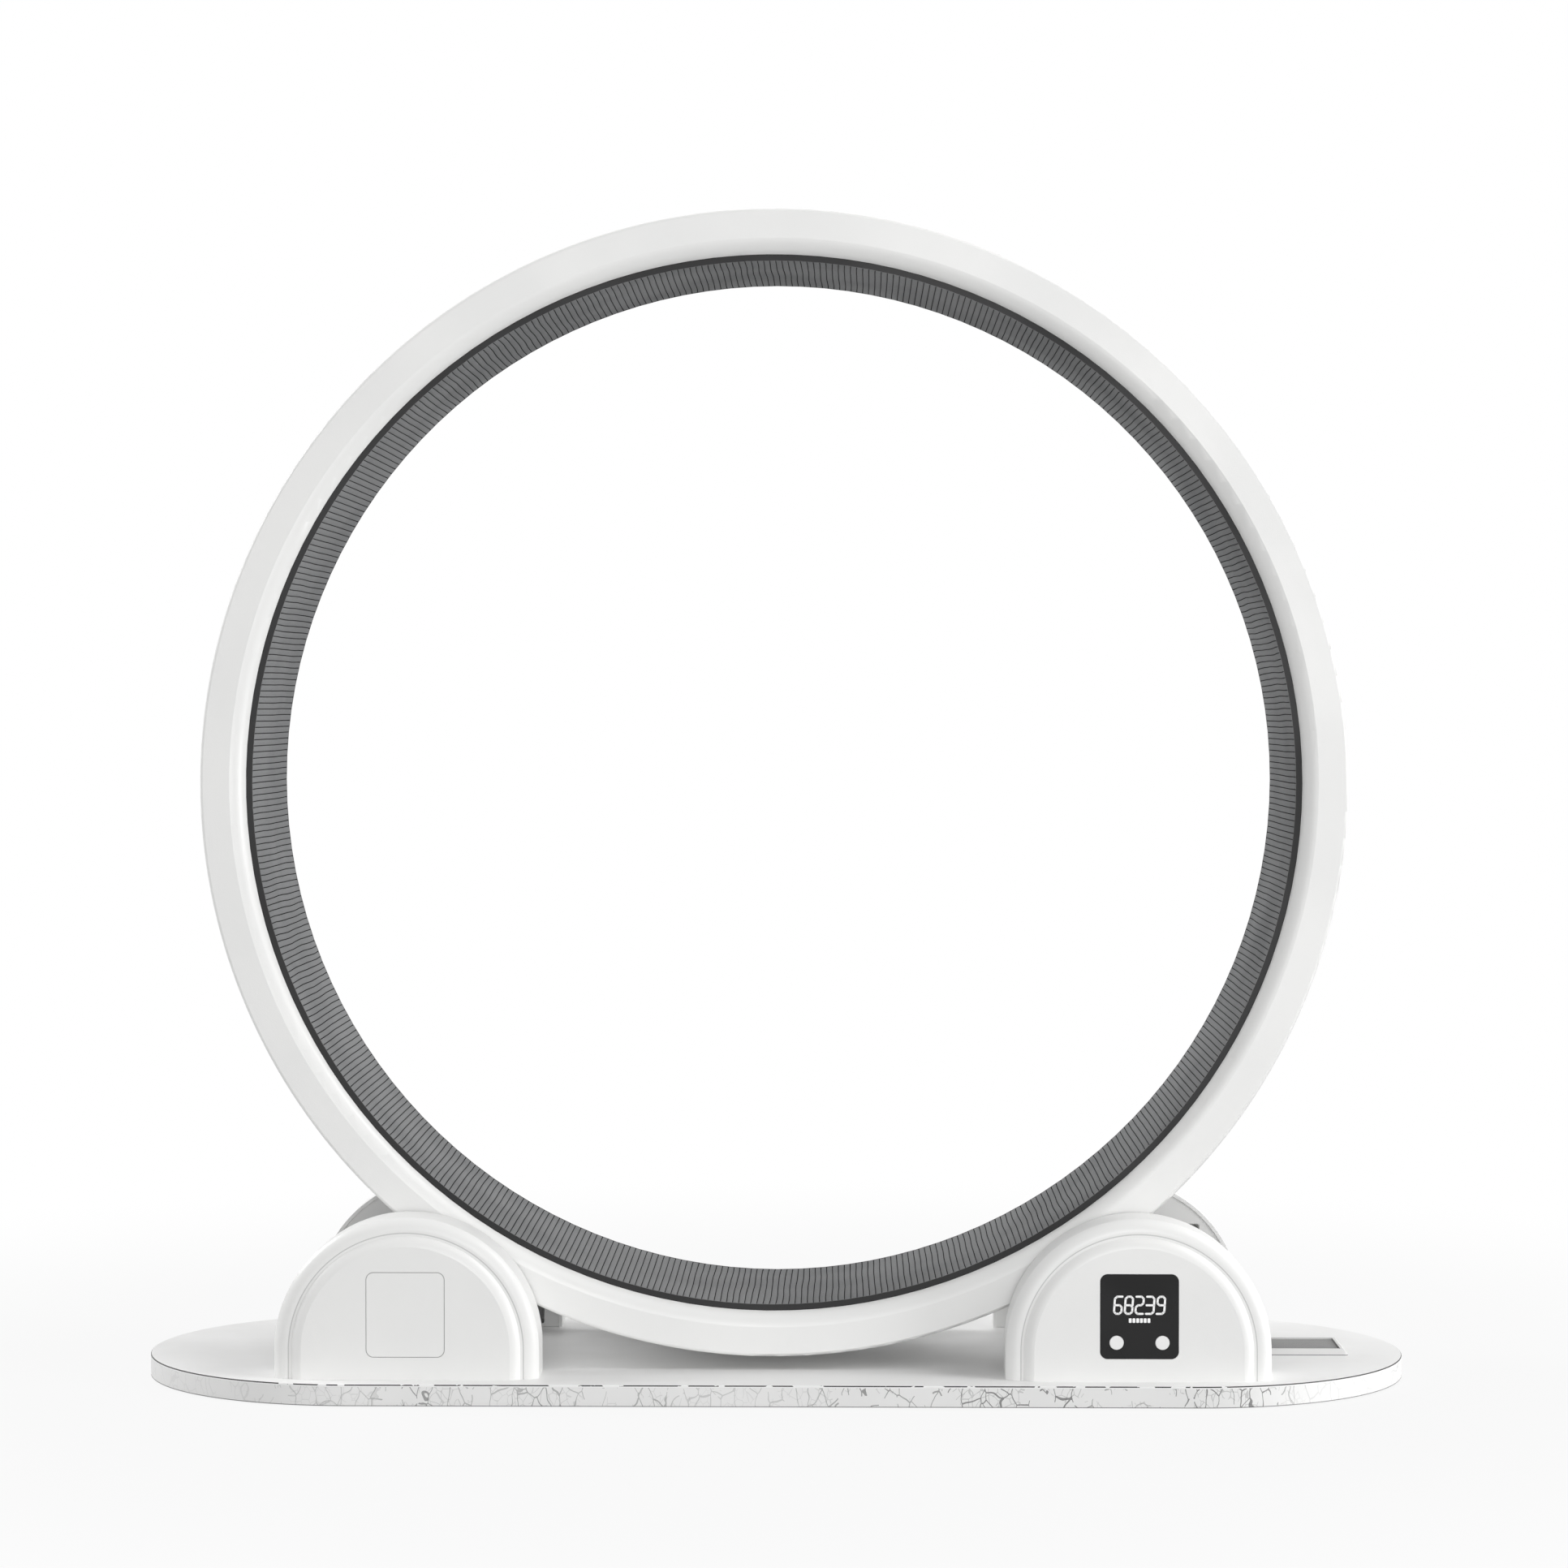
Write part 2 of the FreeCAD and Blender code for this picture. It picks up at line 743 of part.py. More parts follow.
def make_rim_screws():
    body = new_body("rim_screws")
    place(body, z=wheel_z)
    heads = new_sketch(body, "heads", "XY_Plane", flange_outer)
    ends = [(length(0), rim_screw_y(end)) for end in (FRONT, REAR)]
    circles(heads, ends, dim.rim_screw_head / 2)
    first = pad(body, "head_discs", heads, dim.rim_screw_head_height)
    shanks = new_sketch(body, "shanks", "XY_Plane", flange_outer)
    circles(shanks, ends, dim.rim_screw_diameter / 2)
    reach = dim.drum_wall * 2 + dim.drum_fit - dim.glue_line
    second = pad(body, "shank_rods", shanks, reach, reverse=True)
    pattern = polar(body, "all_screws", first, dim.rim_screw_count)
    pattern.Originals = [first, second]
    doc.recompute()


def make_magnet():
    """Disc glued behind the front rim's face, on the +Z side, between two webs."""
    body = new_body("counter_magnet")
    place(body, z=wheel_z)
    back = half_width - dim.rim_face_wall - dim.magnet_thickness
    disc = new_sketch(body, "disc", "XZ_Plane", back)
    step = Length(180.0) / dim.rim_rib_count
    x, z = magnet_circle * sine(step), magnet_circle * cosine(step)
    add_circle(disc, x, z, dim.magnet_diameter / 2)
    pad(body, "slug", disc, dim.magnet_thickness)


# Rollers. Each is drawn about its own axis, along Y, on the front side of the wheel.


def place_at_roller(body, side, end):
    place(body, roller_x * side, 0, plate_top + roller_height, half_turn=end == REAR)


def make_roller(label, side, end):
    hub_radius = dim.roller_radius - dim.tyre_thickness
    bead = hub_radius + dim.tyre_thickness - dim.tyre_crown
    low, high = -roller_outer, -roller_inner

    tyre = new_body(label + "_tyre")
    place_at_roller(tyre, side, end)
    section = new_sketch(tyre, "section", "XY_Plane")
    add_outline(
        section,
        [
            (hub_radius + dim.glue_line, low),
            (bead, low, dim.roller_radius),
            (bead, high),
            (hub_radius + dim.glue_line, high),
        ],
    )
    revolve(tyre, "tread", section)

    hub = new_body(label + "_hub")
    place_at_roller(hub, side, end)
    section = new_sketch(hub, "section", "XY_Plane")
    rim_inner = hub_radius - dim.hub_rim_wall
    bore = dim.bearing_radius + dim.glue_line
    web_low = -track_middle - dim.hub_web / 2
    web_high = -track_middle + dim.hub_web / 2
    add_outline(
        section,
        [
            (bore, low),
            (dim.hub_boss_radius, low),
            (dim.hub_boss_radius, web_low),
            (rim_inner, web_low),
            (rim_inner, low),
            (hub_radius, low),
            (hub_radius, high),
            (rim_inner, high),
            (rim_inner, web_high),
            (dim.hub_boss_radius, web_high),
            (dim.hub_boss_radius, high),
            (bore, high),
        ],
    )
    revolve(hub, "wheel", section)
    holes = new_sketch(hub, "hole", "XZ_Plane", track_middle)
    middle = (dim.hub_boss_radius + rim_inner) / 2
    add_circle(holes, middle, 0, dim.hub_hole_diameter / 2)
    cut = pocket(hub, "hole_cut", holes, dim.hub_web * 2, both_ways=True)
    polar(hub, "hole_ring", cut, dim.hub_hole_count)

    bearings = new_body(label + "_bearings")
    place_at_roller(bearings, side, end)
    section = new_sketch(bearings, "section", "XY_Plane")
    bore = dim.axle_diameter / 2 + dim.axle_clearance
    inner, outer = bore + dim.bearing_race, dim.bearing_radius - dim.bearing_race
    for start in (low, high - dim.bearing_width):
        stop = start + dim.bearing_width
        shield_low = start + dim.bearing_shield_depth
        shield_high = stop - dim.bearing_shield_depth
        add_outline(
            section,
            [
                (bore, start),
                (inner, start),
                (inner, shield_low),
                (outer, shield_low),
                (outer, start),
                (dim.bearing_radius, start),
                (dim.bearing_radius, stop),
                (outer, stop),
                (outer, shield_high),
                (inner, shield_high),
                (inner, stop),
                (bore, stop),
            ],
        )
    revolve(bearings, "races", section)


def hexagon(across, x=0, y=0):
    corner = across / (2 * math.cos(math.pi / 6))
    return [
        (corner * math.cos(math.radians(a)) + x, corner * math.sin(math.radians(a)) + y)
        for a in range(0, 360, 60)
    ]


def make_axle(label, side, end):
    body = new_body(label + "_axle")
    place_at_roller(body, side, end)
    head_face = roller_inner - dim.axle_end_gap
    head = new_sketch(body, "head", "XZ_Plane", head_face - dim.axle_head_height)
    add_outline(head, hexagon(dim.axle_head_across))
    pad(body, "hexagon", head, dim.axle_head_height)
    shank = new_sketch(body, "shank", "XZ_Plane", head_face)
    add_circle(shank, 0, 0, dim.axle_diameter / 2)
    reach = cradle_back + dim.nut_height + dim.axle_tail - head_face
    pad(body, "rod", shank, reach)


def roller_centers():
    """Where the four axles are, in a sketch seen from the front, as (x, z, end)."""
    for _, side, end in TOWERS:
        yield roller_x * side, plate_top + roller_height, end


def make_axle_nuts():
    body = new_body("axle_nuts")
    for end in (FRONT, REAR):
        nuts = new_sketch(body, "nuts%d" % (end > 0), "XZ_Plane", cradle_back * -end)
        for x, z, which in roller_centers():
            if which == end:
                add_outline(nuts, hexagon(dim.axle_head_across, x, z))
                add_circle(nuts, x, z, dim.axle_diameter / 2 + dim.glue_line)
        pad(body, "nut_pair%d" % (end > 0), nuts, dim.nut_height, reverse=end == REAR)


def make_axle_spacers():
    body = new_body("axle_spacers")
    start = roller_outer + dim.axle_end_gap
    for end in (FRONT, REAR):
        tubes = new_sketch(body, "tubes%d" % (end > 0), "XZ_Plane", start * -end)
        for x, z, which in roller_centers():
            if which == end:
                add_circle(tubes, x, z, dim.spacer_radius)
                add_circle(tubes, x, z, dim.axle_diameter / 2 + dim.glue_line)
        reach = cradle_front - start
        pad(body, "tube_pair%d" % (end > 0), tubes, reach, reverse=end == REAR)


def make_cradle(label, side, end):
    """Steel channel on the deck: a floor, two cheeks and a tube that keeps them apart."""
    body = new_body(label + "_cradle")
    place(body, roller_x * side, 0, plate_top, half_turn=end == REAR)
    floor = new_sketch(body, "floor", "XY_Plane")
    half = dim.cradle_length / 2
    add_outline(floor, rectangle(-half, -cradle_back, half, -cradle_front))
    pad(body, "floor_plate", floor, dim.cradle_sheet)
    crown = dim.cradle_top_radius
    crown_x = crown * cosine(dim.cradle_lean)
    crown_z = roller_height + crown * sine(dim.cradle_lean)
    cheek_outline = [
        (-half, length(0)),
        (half, length(0)),
        (half, dim.cradle_sheet * 2),
        (crown_x, crown_z, crown),
        (-crown_x, crown_z),
        (-half, dim.cradle_sheet * 2),
    ]
    for name, start in (
        ("front_cheek", cradle_front),
        ("back_cheek", cradle_back - dim.cradle_sheet),
    ):
        cheek = new_sketch(body, name, "XZ_Plane", start)
        add_outline(cheek, cheek_outline)
        pad(body, name + "_plate", cheek, dim.cradle_sheet)
    tube = new_sketch(body, "tube", "XZ_Plane", cradle_front)
    add_circle(tube, 0, roller_height, dim.spacer_radius)
    pad(body, "tube_rod", tube, dim.cradle_depth)
    bore = new_sketch(body, "bore", "XZ_Plane", cradle_front)
    add_circle(bore, 0, roller_height, dim.axle_diameter / 2 + dim.glue_line)
    pocket(body, "axle_bore", bore, dim.cradle_depth, reverse=True)
    taps = new_sketch(body, "taps", "XY_Plane")
    for step in (-1, 1):
        x = dim.cradle_screw_spacing * (step / 2)
        radius = dim.cradle_screw_diameter / 2 + dim.glue_line
        add_circle(taps, x, -cradle_middle, radius)
    pocket(body, "tapped_holes", taps, dim.cradle_sheet, reverse=True)


# Towers. Each is drawn for the front, about its own centre, with the deck at Z = 0.


def place_tower(body, side, end):
    place(body, tower_x * side, 0, plate_top, half_turn=end == REAR)


def dome_half(inset):
    """Right half of the tower's plan section, from its mouth round to the flat face."""
    radius = dim.tower_radius - inset
    shoulder = -(tower_shoulder - inset)
    ledge = shoulder - dim.outer_band_rise
    face = -(tower_face - inset)
    outer_ledge = radius - dim.outer_band_width
    inner_ledge = outer_ledge - dim.ledge_width
    flat = inner_ledge - dim.inner_band_width
    return [
        (radius, -tower_back),
        (radius, shoulder, -dim.band_radius),
        (outer_ledge, ledge),
        (inner_ledge, ledge, -dim.band_radius),
        (flat, face),
    ]


def mirrored_half(half):
    """The same corners on the left, in reverse, with each arc kept on its own stretch."""
    left = []
    for number in range(len(half) - 1, -1, -1):
        x, y = half[number][0], half[number][1]
        arc = half[number - 1][2:] if number else ()
        left.append((-x, y) + tuple(arc))
    return left


def dome_section(sketch, inset, full):
    half = dome_half(inset)
    if full:
        corners = half + mirrored_half(half)
    else:
        face = half[-1][1]
        corners = [(length(0), -tower_back)] + half + [(length(0), face)]
    add_outline(sketch, corners)


def make_dome(body, name, inset, kinds):
    """Stepped dome: a half turn about the arch's centre, and straight legs down to the deck."""
    straight, turned = kinds
    plan = new_sketch(body, name + "_plan", "XY_Plane", dim.arch_height)
    dome_section(plan, inset, True)
    extrude(straight, body, name + "_legs", plan, dim.arch_height, False, straight == "Pad")
    half = new_sketch(body, name + "_half", "XY_Plane", dim.arch_height)
    dome_section(half, inset, False)
    axis = (half, ["V_Axis"])
    turn(turned, body, name + "_arch", half, axis, 180.0, True)


def panel_corners(gap):
    half_x, half_z = dim.panel_width / 2 + gap, dim.panel_height / 2 + gap
    low, high = dim.panel_center - half_z, dim.panel_center + half_z
    return rounded_rectangle(-half_x, low, half_x, high, dim.panel_corner + gap)


def wall_boss_places():
    yield boss_circle, dim.arch_height
    yield -boss_circle, dim.arch_height
    yield length(0), dim.arch_height + boss_circle


def make_cover(label, side, end):
    body = new_body(label + "_cover")
    place_tower(body, side, end)
    make_dome(body, "outer", length(0), ("Pad", "Revolution"))
    make_dome(body, "inner", dim.tower_wall, ("Pocket", "Groove"))
    bosses = new_sketch(body, "wall_bosses", "XZ_Plane", wall_back)
    circles(bosses, wall_boss_places(), dim.boss_radius)
    reach = tower_face - dim.tower_wall / 2 - wall_back - dim.dome_rise
    pad(body, "wall_posts", bosses, reach)
    posts = new_sketch(body, "foot_bosses", "XY_Plane")
    places = [(foot_boss_x * step, -foot_boss_y) for step in (-1, 1)]
    circles(posts, places, dim.foot_boss_radius)
    pad(body, "foot_posts", posts, dim.foot_boss_height)
    pilots = new_sketch(body, "wall_pilots", "XZ_Plane", wall_back)
    circles(pilots, wall_boss_places(), dim.wall_screw_diameter / 2 + dim.glue_line)
    depth = dim.wall_screw_length
    pocket(body, "wall_pilot_holes", pilots, depth, reverse=True)
    pilots = new_sketch(body, "foot_pilots", "XY_Plane")
    circles(pilots, places, dim.tower_screw_diameter / 2 + dim.glue_line)
    depth = dim.tower_screw_bite + dim.screw_clearance
    pocket(body, "foot_pilot_holes", pilots, depth, reverse=True)
    if end == FRONT:
        opening = new_sketch(body, "opening", "XZ_Plane", tower_face)
        add_outline(opening, panel_corners(dim.panel_gap))
        pocket(body, "panel_opening", opening, dim.tower_wall * 2)


def make_inner_wall(label, side, end):
    body = new_body(label + "_inner_wall")
    place_tower(body, side, end)
    outline = new_sketch(body, "outline", "XZ_Plane", wall_front)
    add_outline(outline, arch(wall_arch, dim.wall_gap))
    pad(body, "plate", outline, dim.wall_plate)
    window = new_sketch(body, "window", "XZ_Plane", wall_front)
    middle = dim.window_offset * hand(side, end)
    left, right = middle - dim.window_width / 2, middle + dim.window_width / 2
    top = dim.window_sill + dim.window_height
    corner = dim.window_corner
    add_outline(window, rounded_rectangle(left, dim.window_sill, right, top, corner))
    cut = pocket(body, "roller_window", window, dim.wall_plate, reverse=True)
    front_y = -wall_front.value
    sill = dim.window_sill.value
    side = wall_arch.value

    def is_window_edge(edge):
        box = edge.BoundBox
        inside = box.ZMin > sill - SMALL and box.ZMax < top.value + SMALL
        reach = max(abs(box.XMin), abs(box.XMax))
        return lies_at(edge, "Y", front_y) and inside and reach < side - SMALL

    edges = edges_where(cut.Shape, is_window_edge)
    soften("Chamfer", body, "window_edge", cut, edges, dim.window_chamfer)
    holes = new_sketch(body, "screw_holes", "XZ_Plane", wall_front)
    circles(holes, wall_boss_places(), dim.wall_screw_diameter / 2 + dim.screw_clearance)
    pocket(body, "screw_bores", holes, dim.wall_plate, reverse=True)


def make_wall_screws():
    """Pan-head screws that hold every inner wall to the bosses of its cover."""
    body = new_body("wall_screws")
    for end in (FRONT, REAR):
        tag = "rear" if end == REAR else "front"
        places = [
            (tower_x * side + x, plate_top + z)
            for _, side, which in TOWERS
            if which == end
            for x, z in wall_boss_places()
        ]
        heads = new_sketch(body, tag + "_heads", "XZ_Plane", wall_front * -end)
        circles(heads, places, dim.wall_screw_head / 2)
        pad(
            body,
            tag + "_discs",
            heads,
            dim.wall_screw_head_height,
            reverse=end == FRONT,
        )
        shanks = new_sketch(body, tag + "_shanks", "XZ_Plane", wall_front * -end)
        circles(shanks, places, dim.wall_screw_diameter / 2)
        reach = dim.wall_plate + dim.wall_screw_length - dim.screw_clearance
        pad(body, tag + "_rods", shanks, reach, reverse=end == REAR)


# Counter, in the front right tower, and the blank panel, in the front left one


def button_places():
    for step in (-1, 1):
        yield dim.button_spacing * (step / 2), button_height


def make_lens():
    body = new_body("counter_lens")
    place_tower(body, RIGHT, FRONT)
    outline = new_sketch(body, "outline", "XZ_Plane", lens_back)
    add_outline(outline, panel_corners(length(0)))
    plate = pad(body, "plate", outline, dim.lens_thickness)
    front = edges_where(plate.Shape, lambda e: lies_at(e, "Y", -lens_face.value))
    soften("Chamfer", body, "edge", plate, front, dim.lens_proud)
    holes = new_sketch(body, "button_holes", "XZ_Plane", lens_back)
    circles(holes, button_places(), dim.button_diameter / 2 + dim.button_gap)
    pocket(body, "button_bores", holes, dim.lens_thickness, reverse=True)


def cell_window():
    """Half width and half height of the opening that the cells go in by."""
    half_x = dim.cell_length / 2 + dim.cell_gap
    return half_x, dim.cell_diameter + dim.cell_gap * 2


def make_counter_case():
    """Tub behind the lens, open to the front, with a window behind the cells."""
    body = new_body("counter_case")
    place_tower(body, RIGHT, FRONT)
    outline = new_sketch(body, "outline", "XZ_Plane", case_back)
    add_outline(outline, panel_corners(length(0)))
    pad(body, "block", outline, dim.case_depth)
    hollow = new_sketch(body, "hollow", "XZ_Plane", lens_back)
    add_outline(hollow, panel_corners(-dim.case_wall))
    pocket(body, "hollow_cut", hollow, dim.case_depth - dim.case_floor)
    window = new_sketch(body, "cell_window", "XZ_Plane", case_back)
    half_x, half_z = cell_window()
    low, high = dim.panel_center - half_z, dim.panel_center + half_z
    add_outline(window, rectangle(-half_x, low, half_x, high))
    pocket(body, "cell_opening", window, dim.case_floor, reverse=True)


def make_battery_cover():
    body = new_body("battery_cover")
    place_tower(body, RIGHT, FRONT)
    plate = new_sketch(body, "plate", "XZ_Plane", case_back)
    half_x, half_z = cell_window()
    half_x, half_z = half_x - dim.cell_gap, half_z - dim.cell_gap
    low, high = dim.panel_center - half_z, dim.panel_center + half_z
    add_outline(plate, rounded_rectangle(-half_x, low, half_x, high, dim.cover_margin))
    pad(body, "door", plate, dim.case_floor)


def make_battery_cells():
    body = new_body("battery_cells")
    place_tower(body, RIGHT, FRONT)
    ends = new_sketch(body, "ends", "YZ_Plane", -dim.cell_length / 2)
    y = -(case_back + dim.case_floor + dim.cell_diameter / 2 + dim.cell_gap)
    for step in (-1, 1):
        z = dim.panel_center + (dim.cell_diameter / 2 + dim.cell_gap) * step
        add_circle(ends, y, z, dim.cell_diameter / 2)
    pad(body, "cells", ends, dim.cell_length)


def make_circuit_board():
    body = new_body("circuit_board")
    place_tower(body, RIGHT, FRONT)
    outline = new_sketch(body, "outline", "XZ_Plane", circuit_back)
    add_outline(outline, panel_corners(-(dim.case_wall + dim.board_fit)))
    pad(body, "board", outline, dim.circuit_thickness)


def make_digit_module():
    body = new_body("digit_module")
    place_tower(body, RIGHT, FRONT)
    outline = new_sketch(body, "outline", "XZ_Plane", circuit_front)
    middle = dim.panel_center + dim.digits_rise
    half_x, half_z = dim.digits_width / 2, dim.digits_height / 2
    add_outline(outline, rectangle(-half_x, middle - half_z, half_x, middle + half_z))
    pad(body, "block", outline, dim.digits_depth)


def make_tact_switches():
    body = new_body("tact_switches")
    place_tower(body, RIGHT, FRONT)
    outline = new_sketch(body, "outline", "XZ_Plane", circuit_front)
    half = dim.switch_side / 2
    for x, z in button_places():
        add_outline(outline, rectangle(x - half, z - half, x + half, z + half))
    pad(body, "blocks", outline, dim.switch_height)


def make_button(name, step):
    """Cap that stands out of the lens, with a flange that keeps it behind the lens."""
    body = new_body(name)
    place_tower(body, RIGHT, FRONT)
    x = dim.button_spacing * (step / 2)
    flange_back = lens_back - dim.button_gap - dim.button_flange_height
    flange = new_sketch(body, "flange", "XZ_Plane", flange_back)
    add_circle(flange, x, button_height, dim.button_diameter / 2 + dim.button_flange)
    pad(body, "flange_disc", flange, dim.button_flange_height)
    cap = new_sketch(body, "cap", "XZ_Plane", flange_back)
    add_circle(cap, x, button_height, dim.button_diameter / 2)
    top = lens_face + dim.button_proud
    disc = pad(body, "cap_disc", cap, top - flange_back)
    rim = edges_where(disc.Shape, lambda e: lies_at(e, "Y", -top.value))
    soften("Fillet", body, "cap_edge", disc, rim, dim.button_proud / 2)


def make_speed_sensor():
    """Stands behind the inner wall, on the circle that the magnet runs on."""
    body = new_body("speed_sensor")
    place_tower(body, RIGHT, FRONT)
    outline = new_sketch(body, "outline", "XZ_Plane", wall_back)
    half_x, half_z = dim.sensor_length / 2, dim.sensor_height / 2
    x = -dim.sensor_offset
    across = tower_x + x
    rise = root(magnet_circle * magnet_circle - across * across)
    z = wheel_z - plate_top - rise
    add_outline(outline, rectangle(x - half_x, z - half_z, x + half_x, z + half_z))
    pad(body, "block", outline, dim.sensor_depth)


def make_blank_panel():
    body = new_body("blank_panel")
    place_tower(body, LEFT, FRONT)
    back = tower_face - dim.panel_thickness
    outline = new_sketch(body, "outline", "XZ_Plane", back)
    add_outline(outline, panel_corners(length(0)))
    pad(body, "plate", outline, dim.panel_thickness)
    half_x, half_z = dim.clip_width / 2, dim.panel_height / 2
    clips = new_sketch(body, "clips", "YZ_Plane", -half_x)
    for step in (-1, 1):
        edge = dim.panel_center + half_z * step
        inner = edge - dim.clip_thickness * step
        hook = edge + dim.clip_hook * step
        corners = [
            (-(back - dim.clip_length), inner),
            (-(back - dim.clip_length), edge),
            (-(back - dim.clip_hook * 2 - dim.panel_gap), hook),
            (-(back - dim.panel_gap), hook),
            (-(back - dim.panel_gap), edge),
            (-(back + dim.panel_thickness / 2), edge),
            (-(back + dim.panel_thickness / 2), inner),
        ]
        add_outline(clips, corners if step > 0 else corners[::-1])
    pad(body, "clip_pair", clips, dim.clip_width)


# Scratch tray on the right end of the deck


def make_scratch_tray():
    body = new_body("scratch_tray")
    place(body, tray_start, 0, plate_top)
    half = dim.tray_width / 2
    outline = new_sketch(body, "outline", "XY_Plane")
    corner = dim.tray_corner
    add_outline(
        outline, rounded_rectangle(length(0), -half, dim.tray_length, half, corner)
    )
    pad(body, "block", outline, dim.tray_height)
    recess = new_sketch(body, "recess", "XY_Plane", dim.tray_height)
    end = dim.tray_length - dim.tray_ramp
    side = half - dim.tray_rim
    add_outline(recess, rectangle(dim.tray_rim, -side, end, side))
    pocket(body, "pad_recess", recess, dim.tray_height - dim.tray_floor)
    ramp = new_sketch(body, "ramp", "XZ_Plane")
    add_outline(
        ramp,
        [
            (end + dim.tray_rim, dim.tray_height),
            (dim.tray_length, dim.tray_floor),
            (dim.tray_length + past_edge, dim.tray_floor),
            (dim.tray_length + past_edge, dim.tray_height + past_edge),
            (end + dim.tray_rim, dim.tray_height + past_edge),
        ],
    )
    pocket(body, "ramp_cut", ramp, dim.tray_width * 2, both_ways=True)


def make_scratch_pad():
    body = new_body("scratch_pad")
    place(body, tray_start, 0, plate_top)
    start = dim.tray_rim + dim.pad_gap
    end = dim.tray_length - dim.tray_ramp - dim.pad_gap
    half = dim.tray_width / 2 - dim.tray_rim - dim.pad_gap
    outline = new_sketch(body, "outline", "XY_Plane", dim.tray_floor + dim.pad_gap)
    add_outline(outline, rectangle(start, -half, end, half))
    top = dim.tray_height - dim.pad_drop
    pad(body, "slab", outline, top - dim.tray_floor - dim.pad_gap)


def build():
    make_base_board()
    make_base_deck()
    make_edge_band()
    make_base_feet()
    cradle_bite = dim.cradle_sheet + dim.screw_clearance
    make_base_screws(
        "cradle_screws", cradle_screw_places(), dim.cradle_screw_diameter, cradle_bite
    )
    tower_bite = dim.tower_screw_bite
    make_base_screws(
        "tower_screws", tower_screw_places(), dim.tower_screw_diameter, tower_bite
    )
    make_rim("front_rim", FRONT)
    make_rim("rear_rim", REAR)
    make_drum()
    make_mat()
    make_rim_screws()
    make_magnet()
    for label, side, end in TOWERS:
        make_cover(label, side, end)
        make_inner_wall(label, side, end)
        make_cradle(label, side, end)
        make_axle(label, side, end)
        make_roller(label, side, end)
    make_wall_screws()
    make_axle_nuts()
    make_axle_spacers()
    make_lens()
    make_counter_case()
    make_battery_cover()
    make_battery_cells()
    make_circuit_board()
    make_digit_module()
    make_tact_switches()
    make_button("left_button", LEFT)
    make_button("right_button", RIGHT)
    make_speed_sensor()
    make_blank_panel()
    make_scratch_tray()
    make_scratch_pad()


def check_and_write():
    doc.recompute()
    for item in doc.Objects:
        if "Invalid" in item.State or "Error" in item.State:
            raise RuntimeError("%s failed: %s" % (item.Label, item.State))
    os.makedirs("parts", exist_ok=True)
    bodies = [item for item in doc.Objects if item.TypeId == "PartDesign::Body"]
    for body in bodies:
        if body.Shape.isNull() or not body.Shape.isValid():
            raise RuntimeError("%s has no valid shape" % body.Label)
    for body in bodies:
        body.Shape.exportStep("parts/%s.step" % body.Label)
    print("%d pieces written" % len(bodies))


build()
check_and_write()
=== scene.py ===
import math

import bmesh
import bpy
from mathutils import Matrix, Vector


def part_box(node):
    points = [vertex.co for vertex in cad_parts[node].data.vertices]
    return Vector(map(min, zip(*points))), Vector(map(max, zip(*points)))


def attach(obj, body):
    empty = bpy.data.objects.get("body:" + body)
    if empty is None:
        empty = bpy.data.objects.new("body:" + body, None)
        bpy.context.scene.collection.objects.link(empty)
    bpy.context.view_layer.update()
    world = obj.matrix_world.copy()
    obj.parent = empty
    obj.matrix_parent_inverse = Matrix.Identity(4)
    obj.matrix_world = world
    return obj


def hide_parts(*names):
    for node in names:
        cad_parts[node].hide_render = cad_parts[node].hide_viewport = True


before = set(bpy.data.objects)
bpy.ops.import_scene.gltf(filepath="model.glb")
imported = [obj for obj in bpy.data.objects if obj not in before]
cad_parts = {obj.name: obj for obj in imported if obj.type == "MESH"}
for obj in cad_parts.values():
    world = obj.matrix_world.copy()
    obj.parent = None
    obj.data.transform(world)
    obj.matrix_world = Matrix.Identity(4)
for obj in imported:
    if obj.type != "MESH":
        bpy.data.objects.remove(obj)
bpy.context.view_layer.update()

# Cat exercise wheel. Metres, +Z up, the wheel's axis along Y, the counter looks along -Y.

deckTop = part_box("base_deck")[1].z
print("frame loaded:", len(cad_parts), "nodes")


# Small helpers for shader trees

def addNode(tree, kind, **settings):
    node = tree.nodes.new(kind)
    for key, value in settings.items():
        setattr(node, key, value)
    return node


def feed(tree, target, value):  # a socket is linked, anything else is a plain value
    if isinstance(value, bpy.types.NodeSocket):
        tree.links.new(value, target)
    else:
        target.default_value = value


def calc(tree, operation, first, second=0.0, clamp=False):
    node = addNode(tree, "ShaderNodeMath", operation=operation, use_clamp=clamp)
    feed(tree, node.inputs[0], first)
    feed(tree, node.inputs[1], second)
    return node.outputs[0]


def product(tree, first, *others):
    for other in others:
        first = calc(tree, "MULTIPLY", first, other)
    return first


def distance(tree, first, second):
    squares = [calc(tree, "MULTIPLY", side, side) for side in (first, second)]
    return calc(tree, "SQRT", calc(tree, "ADD", *squares))


def fade(tree, value, low, high, toLow=0.0, toHigh=1.0):
    node = addNode(tree, "ShaderNodeMapRange", interpolation_type="SMOOTHSTEP")
    for socket, number in zip(node.inputs[:5], (value, low, high, toLow, toHigh)):
        feed(tree, socket, number)
    return node.outputs[0]


def mixColors(tree, mask, under, over):
    node = addNode(tree, "ShaderNodeMix", data_type="RGBA")
    feed(tree, node.inputs[0], mask)
    feed(tree, node.inputs[6], under)
    feed(tree, node.inputs[7], over)
    return node.outputs[2]


def noise(tree, vector, scale, detail=2.0):
    node = addNode(tree, "ShaderNodeTexNoise")
    feed(tree, node.inputs["Vector"], vector)
    feed(tree, node.inputs["Scale"], scale)
    feed(tree, node.inputs["Detail"], detail)
    return node.outputs["Fac"]


def objectPlace(tree):
    return addNode(tree, "ShaderNodeTexCoord").outputs["Object"]


